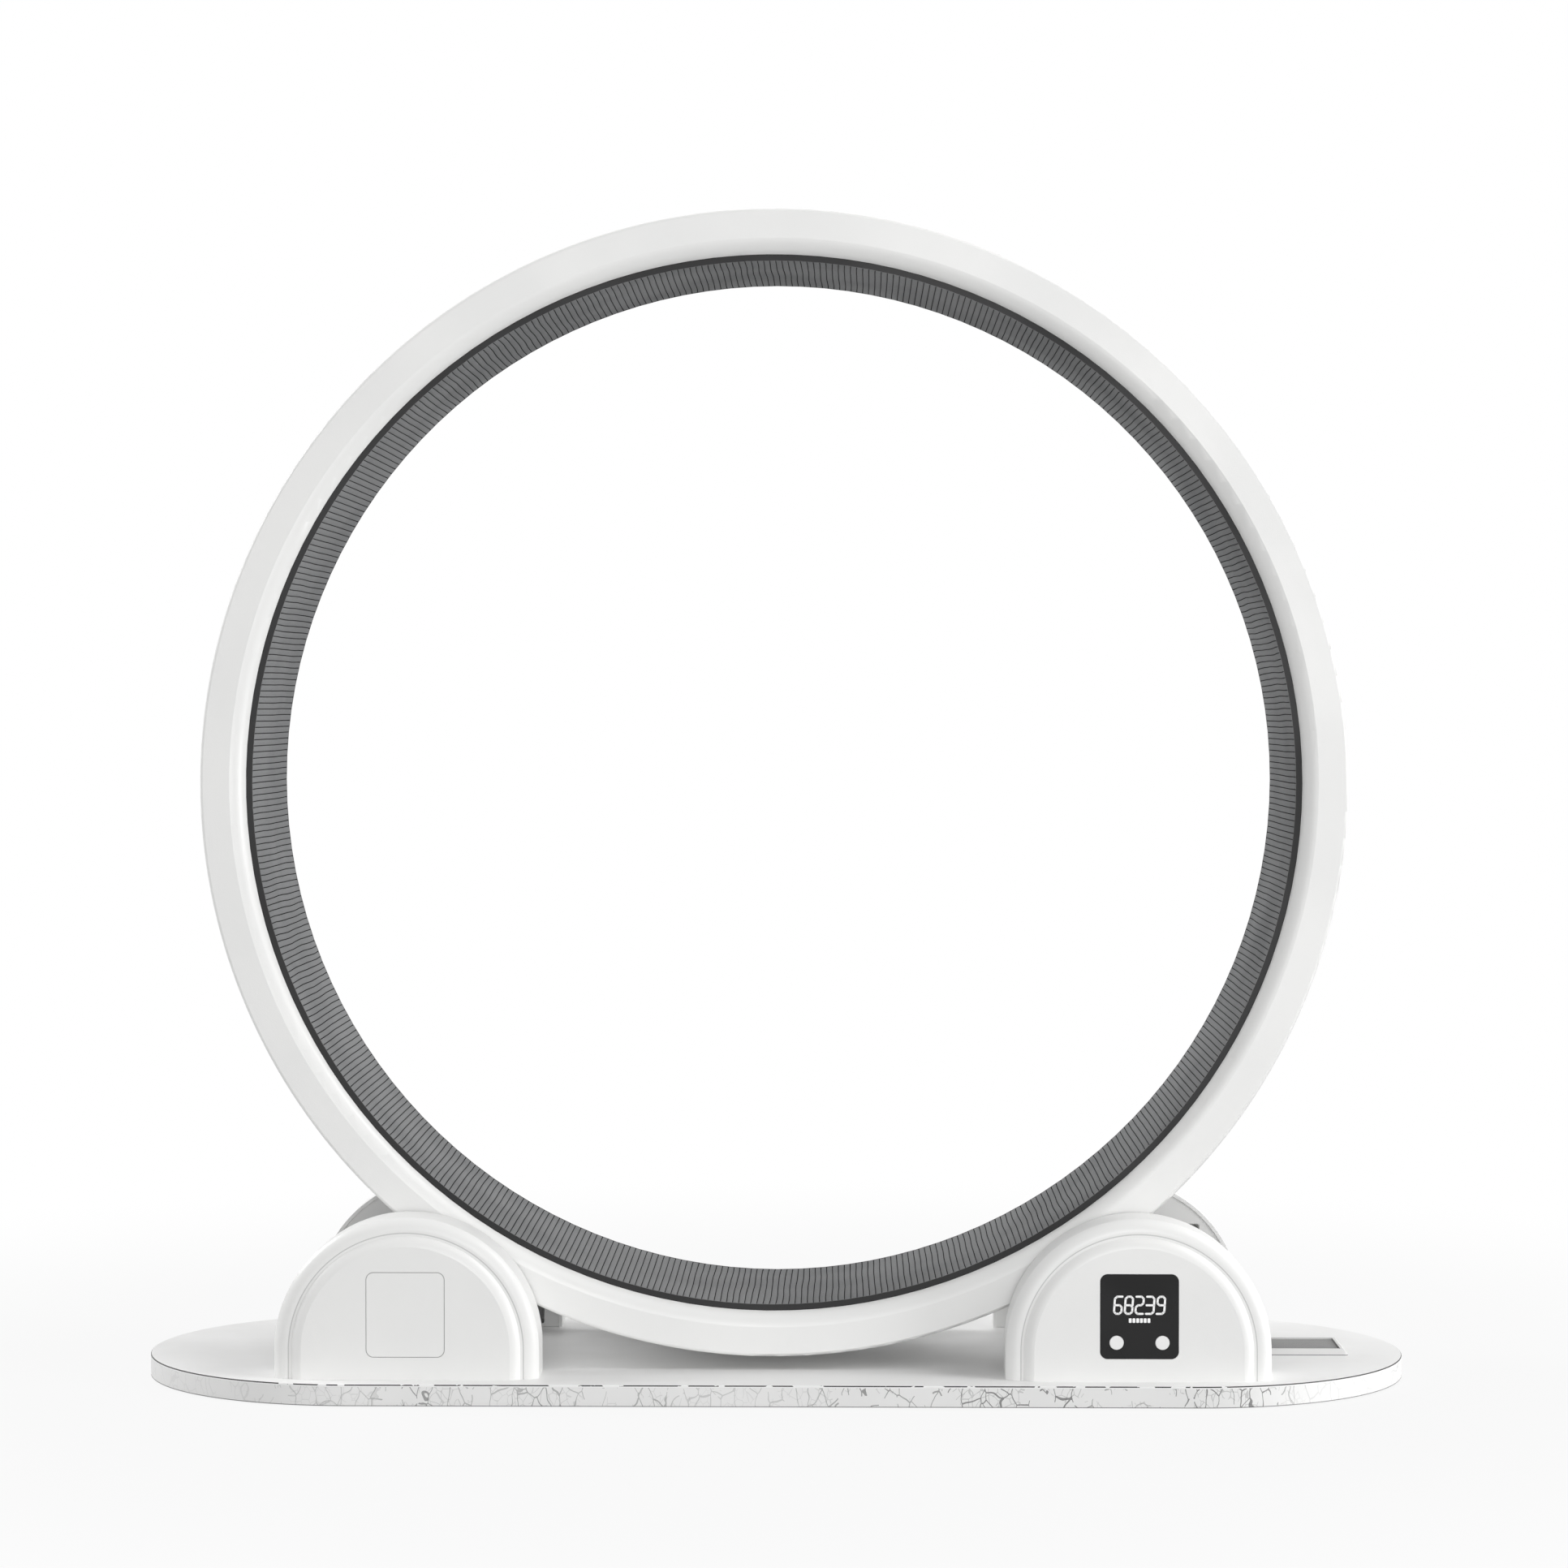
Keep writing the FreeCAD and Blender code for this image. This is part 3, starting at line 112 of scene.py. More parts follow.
def objectAxes(tree):
    split = addNode(tree, "ShaderNodeSeparateXYZ")
    feed(tree, split.inputs[0], objectPlace(tree))
    return split.outputs


def stretched(tree, vector, amounts):
    node = addNode(tree, "ShaderNodeMapping")
    feed(tree, node.inputs["Vector"], vector)
    node.inputs["Scale"].default_value = amounts
    return node.outputs[0]


def startGroup(name, inputs, outputs):
    tree = bpy.data.node_groups.new(name, "ShaderNodeTree")
    for title, default in inputs:
        socket = tree.interface.new_socket(title, in_out="INPUT", socket_type="NodeSocketFloat")
        socket.default_value = default
    for title in outputs:
        tree.interface.new_socket(title, in_out="OUTPUT", socket_type="NodeSocketFloat")
    entry = addNode(tree, "NodeGroupInput").outputs
    result = addNode(tree, "NodeGroupOutput").inputs
    return tree, entry, result


def useGroup(tree, group, **values):
    node = addNode(tree, "ShaderNodeGroup", node_tree=group)
    for key, value in values.items():
        feed(tree, node.inputs[key], value)
    return node.outputs


# Effects that several finishes share

def makeGrain():  # fine moulded grain, and slow patches a few centimetres wide
    tree, entry, result = startGroup("surfaceGrain", [("Scale", 900.0)], ["Height", "Patch"])
    place = objectPlace(tree)
    fine = noise(tree, place, entry["Scale"], detail=3.0)
    slow = noise(tree, place, scale=7.0, detail=2.0)
    tree.links.new(fine, result["Height"])
    tree.links.new(fade(tree, slow, low=0.35, high=0.65), result["Patch"])
    return tree


def makeEdgeWear():  # where the surface turns over an edge, broken up by noise
    tree, entry, result = startGroup("edgeWear", [("Radius", 0.001), ("Breakup", 60.0)], ["Mask"])
    softened = addNode(tree, "ShaderNodeBevel", samples=4)
    feed(tree, softened.inputs["Radius"], entry["Radius"])
    facing = addNode(tree, "ShaderNodeNewGeometry").outputs["Normal"]
    dot = addNode(tree, "ShaderNodeVectorMath", operation="DOT_PRODUCT")
    feed(tree, dot.inputs[0], softened.outputs[0])
    feed(tree, dot.inputs[1], facing)
    turned = fade(tree, calc(tree, "SUBTRACT", 1.0, dot.outputs["Value"]), low=0.02, high=0.25)
    patches = noise(tree, objectPlace(tree), entry["Breakup"], detail=3.0)
    broken = fade(tree, patches, low=0.4, high=0.62)
    tree.links.new(product(tree, turned, broken), result["Mask"])
    return tree


def makeDust():  # settles on what faces up
    tree, entry, result = startGroup("settledDust", [("Scale", 30.0)], ["Mask"])
    split = addNode(tree, "ShaderNodeSeparateXYZ")
    feed(tree, split.inputs[0], addNode(tree, "ShaderNodeNewGeometry").outputs["Normal"])
    upward = fade(tree, split.outputs["Z"], low=0.35, high=0.95)
    patches = noise(tree, objectPlace(tree), entry["Scale"], detail=4.0)
    drift = fade(tree, patches, low=0.38, high=0.7)
    tree.links.new(product(tree, upward, drift), result["Mask"])
    return tree


def bentPlace(tree, scale, detail, reach):  # places pushed about by noise, so that lines bend
    place = objectPlace(tree)
    bend = addNode(tree, "ShaderNodeTexNoise")
    feed(tree, bend.inputs["Vector"], place)
    bend.inputs["Scale"].default_value = scale
    bend.inputs["Detail"].default_value = detail
    shift = addNode(tree, "ShaderNodeVectorMath", operation="MULTIPLY_ADD")
    feed(tree, shift.inputs[0], bend.outputs["Color"])
    shift.inputs[1].default_value = (reach, reach, reach)
    feed(tree, shift.inputs[2], place)
    return shift.outputs[0]


def brokenLines(tree, place, scale, entry, runScale):  # cell borders, shown in runs
    cells = addNode(tree, "ShaderNodeTexVoronoi", feature="DISTANCE_TO_EDGE")
    feed(tree, cells.inputs["Vector"], place)
    feed(tree, cells.inputs["Scale"], scale)
    line = calc(tree, "LESS_THAN", cells.outputs["Distance"], entry["Width"])
    runs = noise(tree, objectPlace(tree), runScale, detail=2.0)
    shown = calc(tree, "GREATER_THAN", runs, calc(tree, "SUBTRACT", 1.0, entry["Cover"]))
    return product(tree, line, shown)


def makeHairlines():  # thin scuffs that come in patches
    tree, entry, result = startGroup(
        "hairlines", [("Scale", 60.0), ("Width", 0.012), ("Cover", 0.5)], ["Mask"]
    )
    place = bentPlace(tree, scale=45.0, detail=2.0, reach=0.012)
    lines = brokenLines(tree, place, entry["Scale"], entry, runScale=38.0)
    tree.links.new(lines, result["Mask"])
    return tree


def makeCracks():  # fine cracks, mostly upright
    tree, entry, result = startGroup(
        "uprightCracks",
        [("Pitch", 0.013), ("Tall", 0.024), ("Width", 0.024), ("Cover", 0.6)],
        ["Mask"],
    )
    size = addNode(tree, "ShaderNodeCombineXYZ")
    for axis, name in (("X", "Pitch"), ("Y", "Pitch"), ("Z", "Tall")):
        feed(tree, size.inputs[axis], entry[name])
    scaled = addNode(tree, "ShaderNodeVectorMath", operation="DIVIDE")
    feed(tree, scaled.inputs[0], bentPlace(tree, scale=55.0, detail=1.0, reach=0.009))
    feed(tree, scaled.inputs[1], size.outputs[0])
    lines = brokenLines(tree, scaled.outputs[0], 1.0, entry, runScale=48.0)
    tree.links.new(lines, result["Mask"])
    return tree


def makeWeave():  # over and under threads in the XY plane
    tree, entry, result = startGroup("threadWeave", [("Pitch", 0.0012)], ["Height"])
    axes = objectAxes(tree)
    turns = calc(tree, "DIVIDE", math.pi, entry["Pitch"])
    waves = [calc(tree, "SINE", product(tree, axes[axis], turns)) for axis in ("X", "Y")]
    crossed = product(tree, *waves, 0.35)
    fuzz = noise(tree, objectPlace(tree), scale=1400.0, detail=3.0)
    tree.links.new(calc(tree, "ADD", crossed, fuzz), result["Height"])
    return tree


surfaceGrain = makeGrain()
edgeWear = makeEdgeWear()
settledDust = makeDust()
hairlines = makeHairlines()
uprightCracks = makeCracks()
threadWeave = makeWeave()
print("shared effects built")


# Finishes

wearBreakup = 70.0
dust = {"scale": 26.0, "color": (0.52, 0.50, 0.47, 1), "rough": 0.5}


def makeFinish(name, look, extra=None):
    material = bpy.data.materials.new(name)
    material.use_nodes = True
    tree = material.node_tree
    shader = tree.nodes["Principled BSDF"]
    grain = useGroup(tree, surfaceGrain, Scale=look["grain"])
    color = mixColors(tree, grain["Patch"], look["color"] + (1,), look["shade"] + (1,))
    rough = fade(tree, grain["Patch"], 0.0, 1.0, look["rough"], look["rough"] + look["uneven"])
    if look.get("wear"):
        worn = useGroup(tree, edgeWear, Radius=look["wearReach"], Breakup=wearBreakup)["Mask"]
        mask = product(tree, worn, look["wear"])
        color = mixColors(tree, mask, color, look["wornColor"] + (1,))
    if look.get("dust"):
        settled = useGroup(tree, settledDust, Scale=dust["scale"])["Mask"]
        mask = product(tree, settled, look["dust"])
        color = mixColors(tree, mask, color, dust["color"])
        rough = calc(tree, "ADD", rough, product(tree, mask, dust["rough"]), clamp=True)
    height = grain["Height"]
    if extra:
        color, height = extra(tree, color, height)
    bump = addNode(tree, "ShaderNodeBump")
    bump.inputs["Strength"].default_value = look["relief"]
    bump.inputs["Distance"].default_value = look["depth"]
    tree.links.new(height, bump.inputs["Height"])
    tree.links.new(bump.outputs[0], shader.inputs["Normal"])
    tree.links.new(color, shader.inputs["Base Color"])
    tree.links.new(rough, shader.inputs["Roughness"])
    for socket, value in look.get("plain", {}).items():
        shader.inputs[socket].default_value = value
    return material


plasticFinish = {
    "grain": 1100.0, "uneven": 0.08, "relief": 0.16, "depth": 0.0003,
    "wear": 0.22, "wearReach": 0.0012, "wornColor": (0.93, 0.93, 0.92), "dust": 0.06,
}
whiteMoulding = {
    **plasticFinish, "color": (0.845, 0.845, 0.835), "shade": (0.825, 0.826, 0.818), "rough": 0.34,
    "plain": {"Coat Weight": 0.12, "Coat Roughness": 0.25},
}
wallMoulding = {
    **plasticFinish, "color": (0.80, 0.80, 0.79), "shade": (0.77, 0.77, 0.765), "rough": 0.46,
}
trayMoulding = {
    **plasticFinish, "color": (0.71, 0.71, 0.70), "shade": (0.69, 0.69, 0.685), "rough": 0.4,
}
drumPlastic = {
    **plasticFinish, "color": (0.34, 0.34, 0.335), "shade": (0.30, 0.30, 0.30), "rough": 0.5,
    "wornColor": (0.5, 0.5, 0.5),
}
hubPlastic = {
    **plasticFinish, "color": (0.045, 0.046, 0.048), "shade": (0.035, 0.036, 0.038), "rough": 0.42,
    "wornColor": (0.2, 0.2, 0.2), "dust": 0.12,
}
buttonWhite = {
    **plasticFinish, "color": (0.88, 0.88, 0.875), "shade": (0.85, 0.85, 0.845), "rough": 0.4,
    "wearReach": 0.0004, "plain": {"Coat Weight": 0.2, "Coat Roughness": 0.2},
}
caseBlack = {
    **plasticFinish, "color": (0.022, 0.022, 0.023), "shade": (0.028, 0.028, 0.029), "rough": 0.5,
    "wornColor": (0.16, 0.16, 0.16),
}
lensBlack = {
    "grain": 900.0, "color": (0.0060, 0.0060, 0.0062), "shade": (0.0085, 0.0085, 0.0088),
    "rough": 0.22, "uneven": 0.07, "relief": 0.03, "depth": 0.0002, "dust": 0.03,
    "wear": 0.25, "wearReach": 0.0004, "wornColor": (0.12, 0.12, 0.12),
    "plain": {"Specular IOR Level": 0.2},
}
deckWhite = {
    "grain": 650.0, "color": (0.89, 0.89, 0.885), "shade": (0.87, 0.87, 0.865), "rough": 0.42,
    "uneven": 0.1, "relief": 0.12, "depth": 0.0003, "dust": 0.05,
}
bandWhite = {
    "grain": 700.0, "color": (0.84, 0.84, 0.835), "shade": (0.81, 0.81, 0.805), "rough": 0.46,
    "uneven": 0.08, "relief": 0.12, "depth": 0.0003,
    "wear": 0.3, "wearReach": 0.0008, "wornColor": (0.55, 0.53, 0.5),
}
boardCore = {
    "grain": 420.0, "color": (0.42, 0.30, 0.18), "shade": (0.30, 0.20, 0.11), "rough": 0.78,
    "uneven": 0.1, "relief": 0.5, "depth": 0.0006,
}
softRubber = {
    "grain": 800.0, "color": (0.030, 0.030, 0.031), "shade": (0.040, 0.040, 0.041), "rough": 0.62,
    "uneven": 0.12, "relief": 0.25, "depth": 0.0003, "dust": 0.15,
}
trimRubber = {
    **softRubber, "color": (0.012, 0.012, 0.0125), "shade": (0.016, 0.016, 0.0165), "rough": 0.42,
    "dust": 0.02, "plain": {"Specular IOR Level": 0.3},
}
tyreRubber = {
    **softRubber, "color": (0.055, 0.055, 0.056), "shade": (0.075, 0.075, 0.076), "rough": 0.58,
    "wear": 0.35, "wearReach": 0.001, "wornColor": (0.17, 0.17, 0.17),
}
zincSteel = {
    "grain": 500.0, "color": (0.62, 0.62, 0.60), "shade": (0.52, 0.52, 0.50), "rough": 0.3,
    "uneven": 0.14, "relief": 0.08, "depth": 0.0002, "dust": 0.06,
    "wear": 0.5, "wearReach": 0.0006, "wornColor": (0.78, 0.78, 0.77), "plain": {"Metallic": 1.0},
}
bearingSteel = {
    **zincSteel, "color": (0.66, 0.66, 0.67), "shade": (0.58, 0.58, 0.59), "rough": 0.2,
}
magnetMetal = {
    **zincSteel, "color": (0.70, 0.69, 0.67), "shade": (0.62, 0.61, 0.60), "rough": 0.16,
}
paintedSteel = {
    "grain": 380.0, "color": (0.022, 0.022, 0.024), "shade": (0.030, 0.030, 0.032), "rough": 0.44,
    "uneven": 0.1, "relief": 0.3, "depth": 0.0004, "dust": 0.10,
    "wear": 0.55, "wearReach": 0.0009, "wornColor": (0.28, 0.28, 0.28),
}
circuitGreen = {
    "grain": 600.0, "color": (0.012, 0.11, 0.045), "shade": (0.016, 0.14, 0.06), "rough": 0.35,
    "uneven": 0.1, "relief": 0.2, "depth": 0.0002,
}
digitDisplay = {
    "grain": 500.0, "color": (0.03, 0.03, 0.032), "shade": (0.04, 0.04, 0.042), "rough": 0.3,
    "uneven": 0.08, "relief": 0.1, "depth": 0.0002,
}
cellSleeve = {
    "grain": 300.0, "color": (0.10, 0.12, 0.16), "shade": (0.13, 0.15, 0.19), "rough": 0.3,
    "uneven": 0.1, "relief": 0.1, "depth": 0.0002,
}


# painted shade: a dark line on the deck's top edge stands in for the shade there
deckEdgeShade = {
    "low": deckTop - 0.00098,
    "high": deckTop - 0.00003,
    "dashScale": 62.0,
    "dashLevel": 0.455,
    "unbroken": (0.40, 0.50),  # past this distance from the middle it has no gaps
    "color": (0.020, 0.020, 0.020, 1),
}
deckScuffs = {
    "lines": {"Scale": 34.0, "Width": 0.004, "Cover": 0.34},
    "share": 0.10,
    "color": (0.4, 0.4, 0.4, 1),
}


def addDeckEdgeShadeAndScuffs(tree, color, height):  # painted shade as a dark line along the deck's top edge, in dashes, and scuffs
    axes = objectAxes(tree)
    above = calc(tree, "GREATER_THAN", axes["Z"], deckEdgeShade["low"])
    below = calc(tree, "LESS_THAN", axes["Z"], deckEdgeShade["high"])
    gaps = noise(tree, objectPlace(tree), deckEdgeShade["dashScale"], detail=3.0)
    toEnds = fade(tree, calc(tree, "ABSOLUTE", axes["X"]), *deckEdgeShade["unbroken"], 0.0, 0.5)
    shown = calc(tree, "GREATER_THAN", calc(tree, "ADD", gaps, toEnds), deckEdgeShade["dashLevel"])
    scuffs = useGroup(tree, hairlines, **deckScuffs["lines"])["Mask"]
    color = mixColors(tree, product(tree, scuffs, deckScuffs["share"]), color, deckScuffs["color"])
    return mixColors(tree, product(tree, above, below, shown), color, deckEdgeShade["color"]), height


crazing = {
    "coarse": {"Pitch": 0.0125, "Tall": 0.022, "Width": 0.024, "Cover": 0.6},
    "fine": {"Pitch": 0.0062, "Tall": 0.0085, "Width": 0.034, "Cover": 0.52},
    "coarseShare": 0.78,
    "fineShare": 0.34,
    "leftEnd": (-0.47, -0.40),  # where it comes in, from the least share
    "leftLeast": 0.12,
    "rightEnd": (0.42, 0.50),   # where it goes out
    "rightLeast": 0.25,
    "patchScale": 6.5,
    "patchEdge": (0.4, 0.6),
    "patchLeast": 0.38,
    "color": (0.085, 0.085, 0.085, 1),
}
bandFootShade = {"high": 0.00175, "share": 0.85, "color": (0.16, 0.16, 0.16, 1)}


def addCrazingAndFootShade(tree, color, height):  # crazed edge band, with painted shade as a dark line along its foot
    axes = objectAxes(tree)
    coarse = useGroup(tree, uprightCracks, **crazing["coarse"])["Mask"]
    fine = useGroup(tree, uprightCracks, **crazing["fine"])["Mask"]
    patches = noise(tree, objectPlace(tree), crazing["patchScale"], detail=1.0)
    inField = product(
        tree,
        fade(tree, axes["X"], *crazing["leftEnd"], crazing["leftLeast"], 1.0),
        fade(tree, axes["X"], *crazing["rightEnd"], 1.0, crazing["rightLeast"]),
        fade(tree, patches, *crazing["patchEdge"], crazing["patchLeast"], 1.0),
    )
    for lines, share in ((fine, crazing["fineShare"]), (coarse, crazing["coarseShare"])):
        color = mixColors(tree, product(tree, lines, inField, share), color, crazing["color"])
    # painted shade: a dark line along the band's foot, over the gap above the floor
    foot = product(tree, calc(tree, "LESS_THAN", axes["Z"], bandFootShade["high"]), bandFootShade["share"])
    color = mixColors(tree, foot, color, bandFootShade["color"])
    return color, calc(tree, "SUBTRACT", height, coarse)


coverLow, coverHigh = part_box("front_right_cover")
lensLow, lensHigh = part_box("counter_lens")
coverRound = (coverHigh.x - coverLow.x) / 2
# painted shade: a grey line where each tower's outer band meets its ledge
towerCreaseShade = {
    "center": ((coverLow.x + coverHigh.x) / 2, coverHigh.z - coverRound),
    "reach": (coverRound - 0.0135, coverRound - 0.0125),
    "front": -coverLow.y - 0.014,
    "share": 0.5,
    "color": (0.33, 0.33, 0.33, 1),
}
# painted shade: a dark line in the gap round the blank panel
panelGapShade = {  # the panel has the outline of the counter's lens, on the other tower
    "center": (-(lensLow.x + lensHigh.x) / 2, (lensLow.z + lensHigh.z) / 2),
    "half": ((lensHigh.x - lensLow.x) / 2 + 0.0001, (lensHigh.z - lensLow.z) / 2 + 0.0001),
    "corner": 0.0064,
    "width": 0.0004,
    "front": coverLow.y + 0.004,
    "share": 0.55,
    "color": (0.22, 0.22, 0.22, 1),
}


def addPanelGapShade(tree, color):  # painted shade in the gap round the front left tower's blank panel
    axes = objectAxes(tree)
    past = []
    for axis, middle, half in zip("XZ", panelGapShade["center"], panelGapShade["half"]):
        away = calc(tree, "ABSOLUTE", calc(tree, "SUBTRACT", axes[axis], middle))
        straight = half - panelGapShade["corner"]
        past.append(calc(tree, "MAXIMUM", calc(tree, "SUBTRACT", away, straight), 0.0))
    off = calc(tree, "SUBTRACT", distance(tree, *past), panelGapShade["corner"])
    near = calc(tree, "LESS_THAN", calc(tree, "ABSOLUTE", off), panelGapShade["width"])
    forward = calc(tree, "LESS_THAN", axes["Y"], panelGapShade["front"])
    mask = product(tree, near, forward, panelGapShade["share"])
    return mixColors(tree, mask, color, panelGapShade["color"])


def addTowerAndPanelShade(tree, color, height):  # painted shade in the crease at the foot of each tower's outer band
    axes = objectAxes(tree)
    centerX, centerZ = towerCreaseShade["center"]
    across = calc(tree, "SUBTRACT", calc(tree, "ABSOLUTE", axes["X"]), centerX)
    up = calc(tree, "MAXIMUM", calc(tree, "SUBTRACT", axes["Z"], centerZ), 0.0)
    reach = distance(tree, across, up)
    forward = calc(tree, "ABSOLUTE", axes["Y"])
    mask = product(
        tree,
        calc(tree, "GREATER_THAN", reach, towerCreaseShade["reach"][0]),
        calc(tree, "LESS_THAN", reach, towerCreaseShade["reach"][1]),
        calc(tree, "GREATER_THAN", forward, towerCreaseShade["front"]),
        towerCreaseShade["share"],
    )
    return addPanelGapShade(tree, mixColors(tree, mask, color, towerCreaseShade["color"])), height


# painted shadow: a dark line along the tray's foot, on the deck
trayFootShade = {"high": deckTop + 0.0008, "share": 0.8, "color": (0.16, 0.16, 0.16, 1)}


def addTrayFootShade(tree, color, height):  # painted shadow where the tray meets the deck
    low = calc(tree, "LESS_THAN", objectAxes(tree)["Z"], trayFootShade["high"])
    return mixColors(tree, product(tree, low, trayFootShade["share"]), color, trayFootShade["color"]), height


chips = {"perMetre": (160, 260, 200), "edge": (0.1, 0.7), "color": (0.55, 0.42, 0.27, 1)}
treadLines = {
    "perMetre": (30, 2600, 30),
    "edge": (0.5, 0.7),
    "share": 0.35,
    "color": (0.14, 0.14, 0.14, 1),
}


def addChips(tree, color, height):  # chipboard flakes
    cells = addNode(tree, "ShaderNodeTexVoronoi")
    feed(tree, cells.inputs["Vector"], stretched(tree, objectPlace(tree), chips["perMetre"]))
    cells.inputs["Scale"].default_value = 1.0
    flake = fade(tree, cells.outputs["Distance"], *chips["edge"])
    return mixColors(tree, flake, chips["color"], color), flake


def addTreadLines(tree, color, height):  # tyre polished in lines round its tread
    place = stretched(tree, objectPlace(tree), treadLines["perMetre"])
    lines = noise(tree, place, scale=1.0, detail=2.0)
    mask = product(tree, fade(tree, lines, *treadLines["edge"]), treadLines["share"])
    return mixColors(tree, mask, color, treadLines["color"]), height


finishes = {
    "white_moulding": makeFinish("whiteMoulding", whiteMoulding, addTowerAndPanelShade),
    "wall_moulding": makeFinish("wallMoulding", wallMoulding),
    "tray_moulding": makeFinish("trayMoulding", trayMoulding, addTrayFootShade),
    "drum_plastic": makeFinish("drumPlastic", drumPlastic),
    "deck_white": makeFinish("deckWhite", deckWhite, addDeckEdgeShadeAndScuffs),
    "board_core": makeFinish("boardCore", boardCore, addChips),
    "edge_band": makeFinish("bandWhite", bandWhite, addCrazingAndFootShade),
    "foot_rubber": makeFinish("footRubber", softRubber),
    "trim_rubber": makeFinish("trimRubber", trimRubber),
    "black_steel": makeFinish("paintedSteel", paintedSteel),
    "zinc_steel": makeFinish("zincSteel", zincSteel),
    "bearing_steel": makeFinish("bearingSteel", bearingSteel),
    "roller_rubber": makeFinish("tyreRubber", tyreRubber, addTreadLines),
    "hub_plastic": makeFinish("hubPlastic", hubPlastic),
    "magnet_metal": makeFinish("magnetMetal", magnetMetal),
    "lens_black": makeFinish("lensBlack", lensBlack),
    "case_black": makeFinish("caseBlack", caseBlack),
    "circuit_green": makeFinish("circuitGreen", circuitGreen),
    "digit_display": makeFinish("digitDisplay", digitDisplay),
    "cell_sleeve": makeFinish("cellSleeve", cellSleeve),
    "button_white": makeFinish("buttonWhite", buttonWhite),
}


def dressNodes():
    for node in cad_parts.values():
        slotName = node.data.materials[0].name.split(".")[0]
        if slotName in finishes:
            node.data.materials[0] = finishes[slotName]


dressNodes()
print("CAD nodes dressed")


# Modelling helpers

smoothAngle = math.radians(40)


def deselectAll():
    bpy.ops.object.select_all(action="DESELECT")


def editOn():
    bpy.ops.object.mode_set(mode="EDIT")


def editOff():
    bpy.ops.object.mode_set(mode="OBJECT")


def pick(kind, test):  # kind is VERT, EDGE or FACE
    bpy.ops.mesh.select_mode(type=kind)
    bpy.ops.mesh.select_all(action="DESELECT")
    mesh = bpy.context.object.data
    shape = bmesh.from_edit_mesh(mesh)
    parts = {"VERT": shape.verts, "EDGE": shape.edges, "FACE": shape.faces}[kind]
    for part in parts:
        if test(part):
            part.select_set(True)
    bmesh.update_edit_mesh(mesh)


def joinAll(pieces):
    deselectAll()
    for piece in pieces:
        piece.select_set(True)
    bpy.context.view_layer.objects.active = pieces[0]
    bpy.ops.object.join()
    return pieces[0]


def settle(piece, name, material, body):
    piece.name = name
    piece.data.name = name
    piece.data.materials.clear()
    piece.data.materials.append(material)
    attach(piece, body)


# Running mat: one rib and its groove, spun all round the drum

runningMat = {
    "ribCount": 526,
    "ribShare": 0.865,      # of the pitch
    "ribHeight": 0.0011,
    "ribRound": 0.00035,
    "lengths": 8,           # stretches of a rib across the drum
    "pile": (0.268, 0.272, 0.276),
    "pileShade": (0.236, 0.240, 0.244),
    "threadsPerMetre": (900, 160, 900),
    "threadColor": (0.12, 0.12, 0.122, 1),
    "threadShare": 0.35,
    "grooveShadeFade": (0.00025, 0.000825),  # depths between which a groove's side darkens, as painted shade
    "grooveShadeColor": (0.020, 0.020, 0.021, 1),
}
ribSway = {
    "most": 0.0010,         # how far a rib wanders sideways
    "calm": (3, 0.8),       # waves round the drum that the wandering comes and goes in
    "secondCalm": (7, 2.1),
    "leanWave": (5, 0.6),
    "lean": 10,             # per metre across the drum
    "longWave": 34,         # radians per metre across
    "longShare": 0.45,
    "longBend": 9,
    "shortWave": 71,
    "shortTurns": 23,
    "shortShare": 0.22,
}


def makeMatFinish(axis, inner):
    matFinish = {
        "grain": 1500.0, "color": runningMat["pile"], "shade": runningMat["pileShade"],
        "rough": 0.72, "uneven": 0.12, "relief": 0.35, "depth": 0.0004, "dust": 0.04,
        "plain": {"Specular IOR Level": 0.12},
    }

    def addGrooveShadeAndThreads(tree, color, height):
        flat = addNode(tree, "ShaderNodeVectorMath", operation="MULTIPLY_ADD")
        feed(tree, flat.inputs[0], objectPlace(tree))
        flat.inputs[1].default_value = (1, 0, 1)
        flat.inputs[2].default_value = (0, 0, -axis.z)
        reach = addNode(tree, "ShaderNodeVectorMath", operation="LENGTH")
        tree.links.new(flat.outputs[0], reach.inputs[0])
        # painted shade: the grooves' sides darken with depth
        low, high = (inner + depth for depth in runningMat["grooveShadeFade"])
        grooveShadeMask = fade(tree, reach.outputs["Value"], low, high)
        place = stretched(tree, objectPlace(tree), runningMat["threadsPerMetre"])
        threads = noise(tree, place, scale=1.0, detail=3.0)
        threaded = product(tree, threads, runningMat["threadShare"])
        color = mixColors(tree, threaded, color, runningMat["threadColor"])
        return mixColors(tree, grooveShadeMask, color, runningMat["grooveShadeColor"]), threads

    return makeFinish("matRubber", matFinish, addGrooveShadeAndThreads)


def wave(around, turns, start=0.0):
    return math.sin(around * turns + start)


def swayRibs(piece, axis, inner):  # ribs wander a little, as a soft mat's do, and less in places
    for vert in piece.data.vertices:
        around = math.atan2(vert.co.x, vert.co.z - axis.z)
        across = vert.co.y
        calm = 0.5 + 0.5 * wave(around, *ribSway["calm"]) * wave(around, *ribSway["secondCalm"])
        lean = ribSway["lean"] * across * wave(around, *ribSway["leanWave"])
        bend = ribSway["longBend"] * wave(around, ribSway["leanWave"][0])
        longWave = ribSway["longShare"] * wave(across, ribSway["longWave"], bend)
        turned = around * ribSway["shortTurns"]
        shortWave = ribSway["shortShare"] * wave(across, ribSway["shortWave"], turned)
        wander = lean + longWave + shortWave
        moved = around + ribSway["most"] * calm * wander / inner
        reach = math.hypot(vert.co.x, vert.co.z - axis.z)
        vert.co.x = reach * math.sin(moved)
        vert.co.z = axis.z + reach * math.cos(moved)


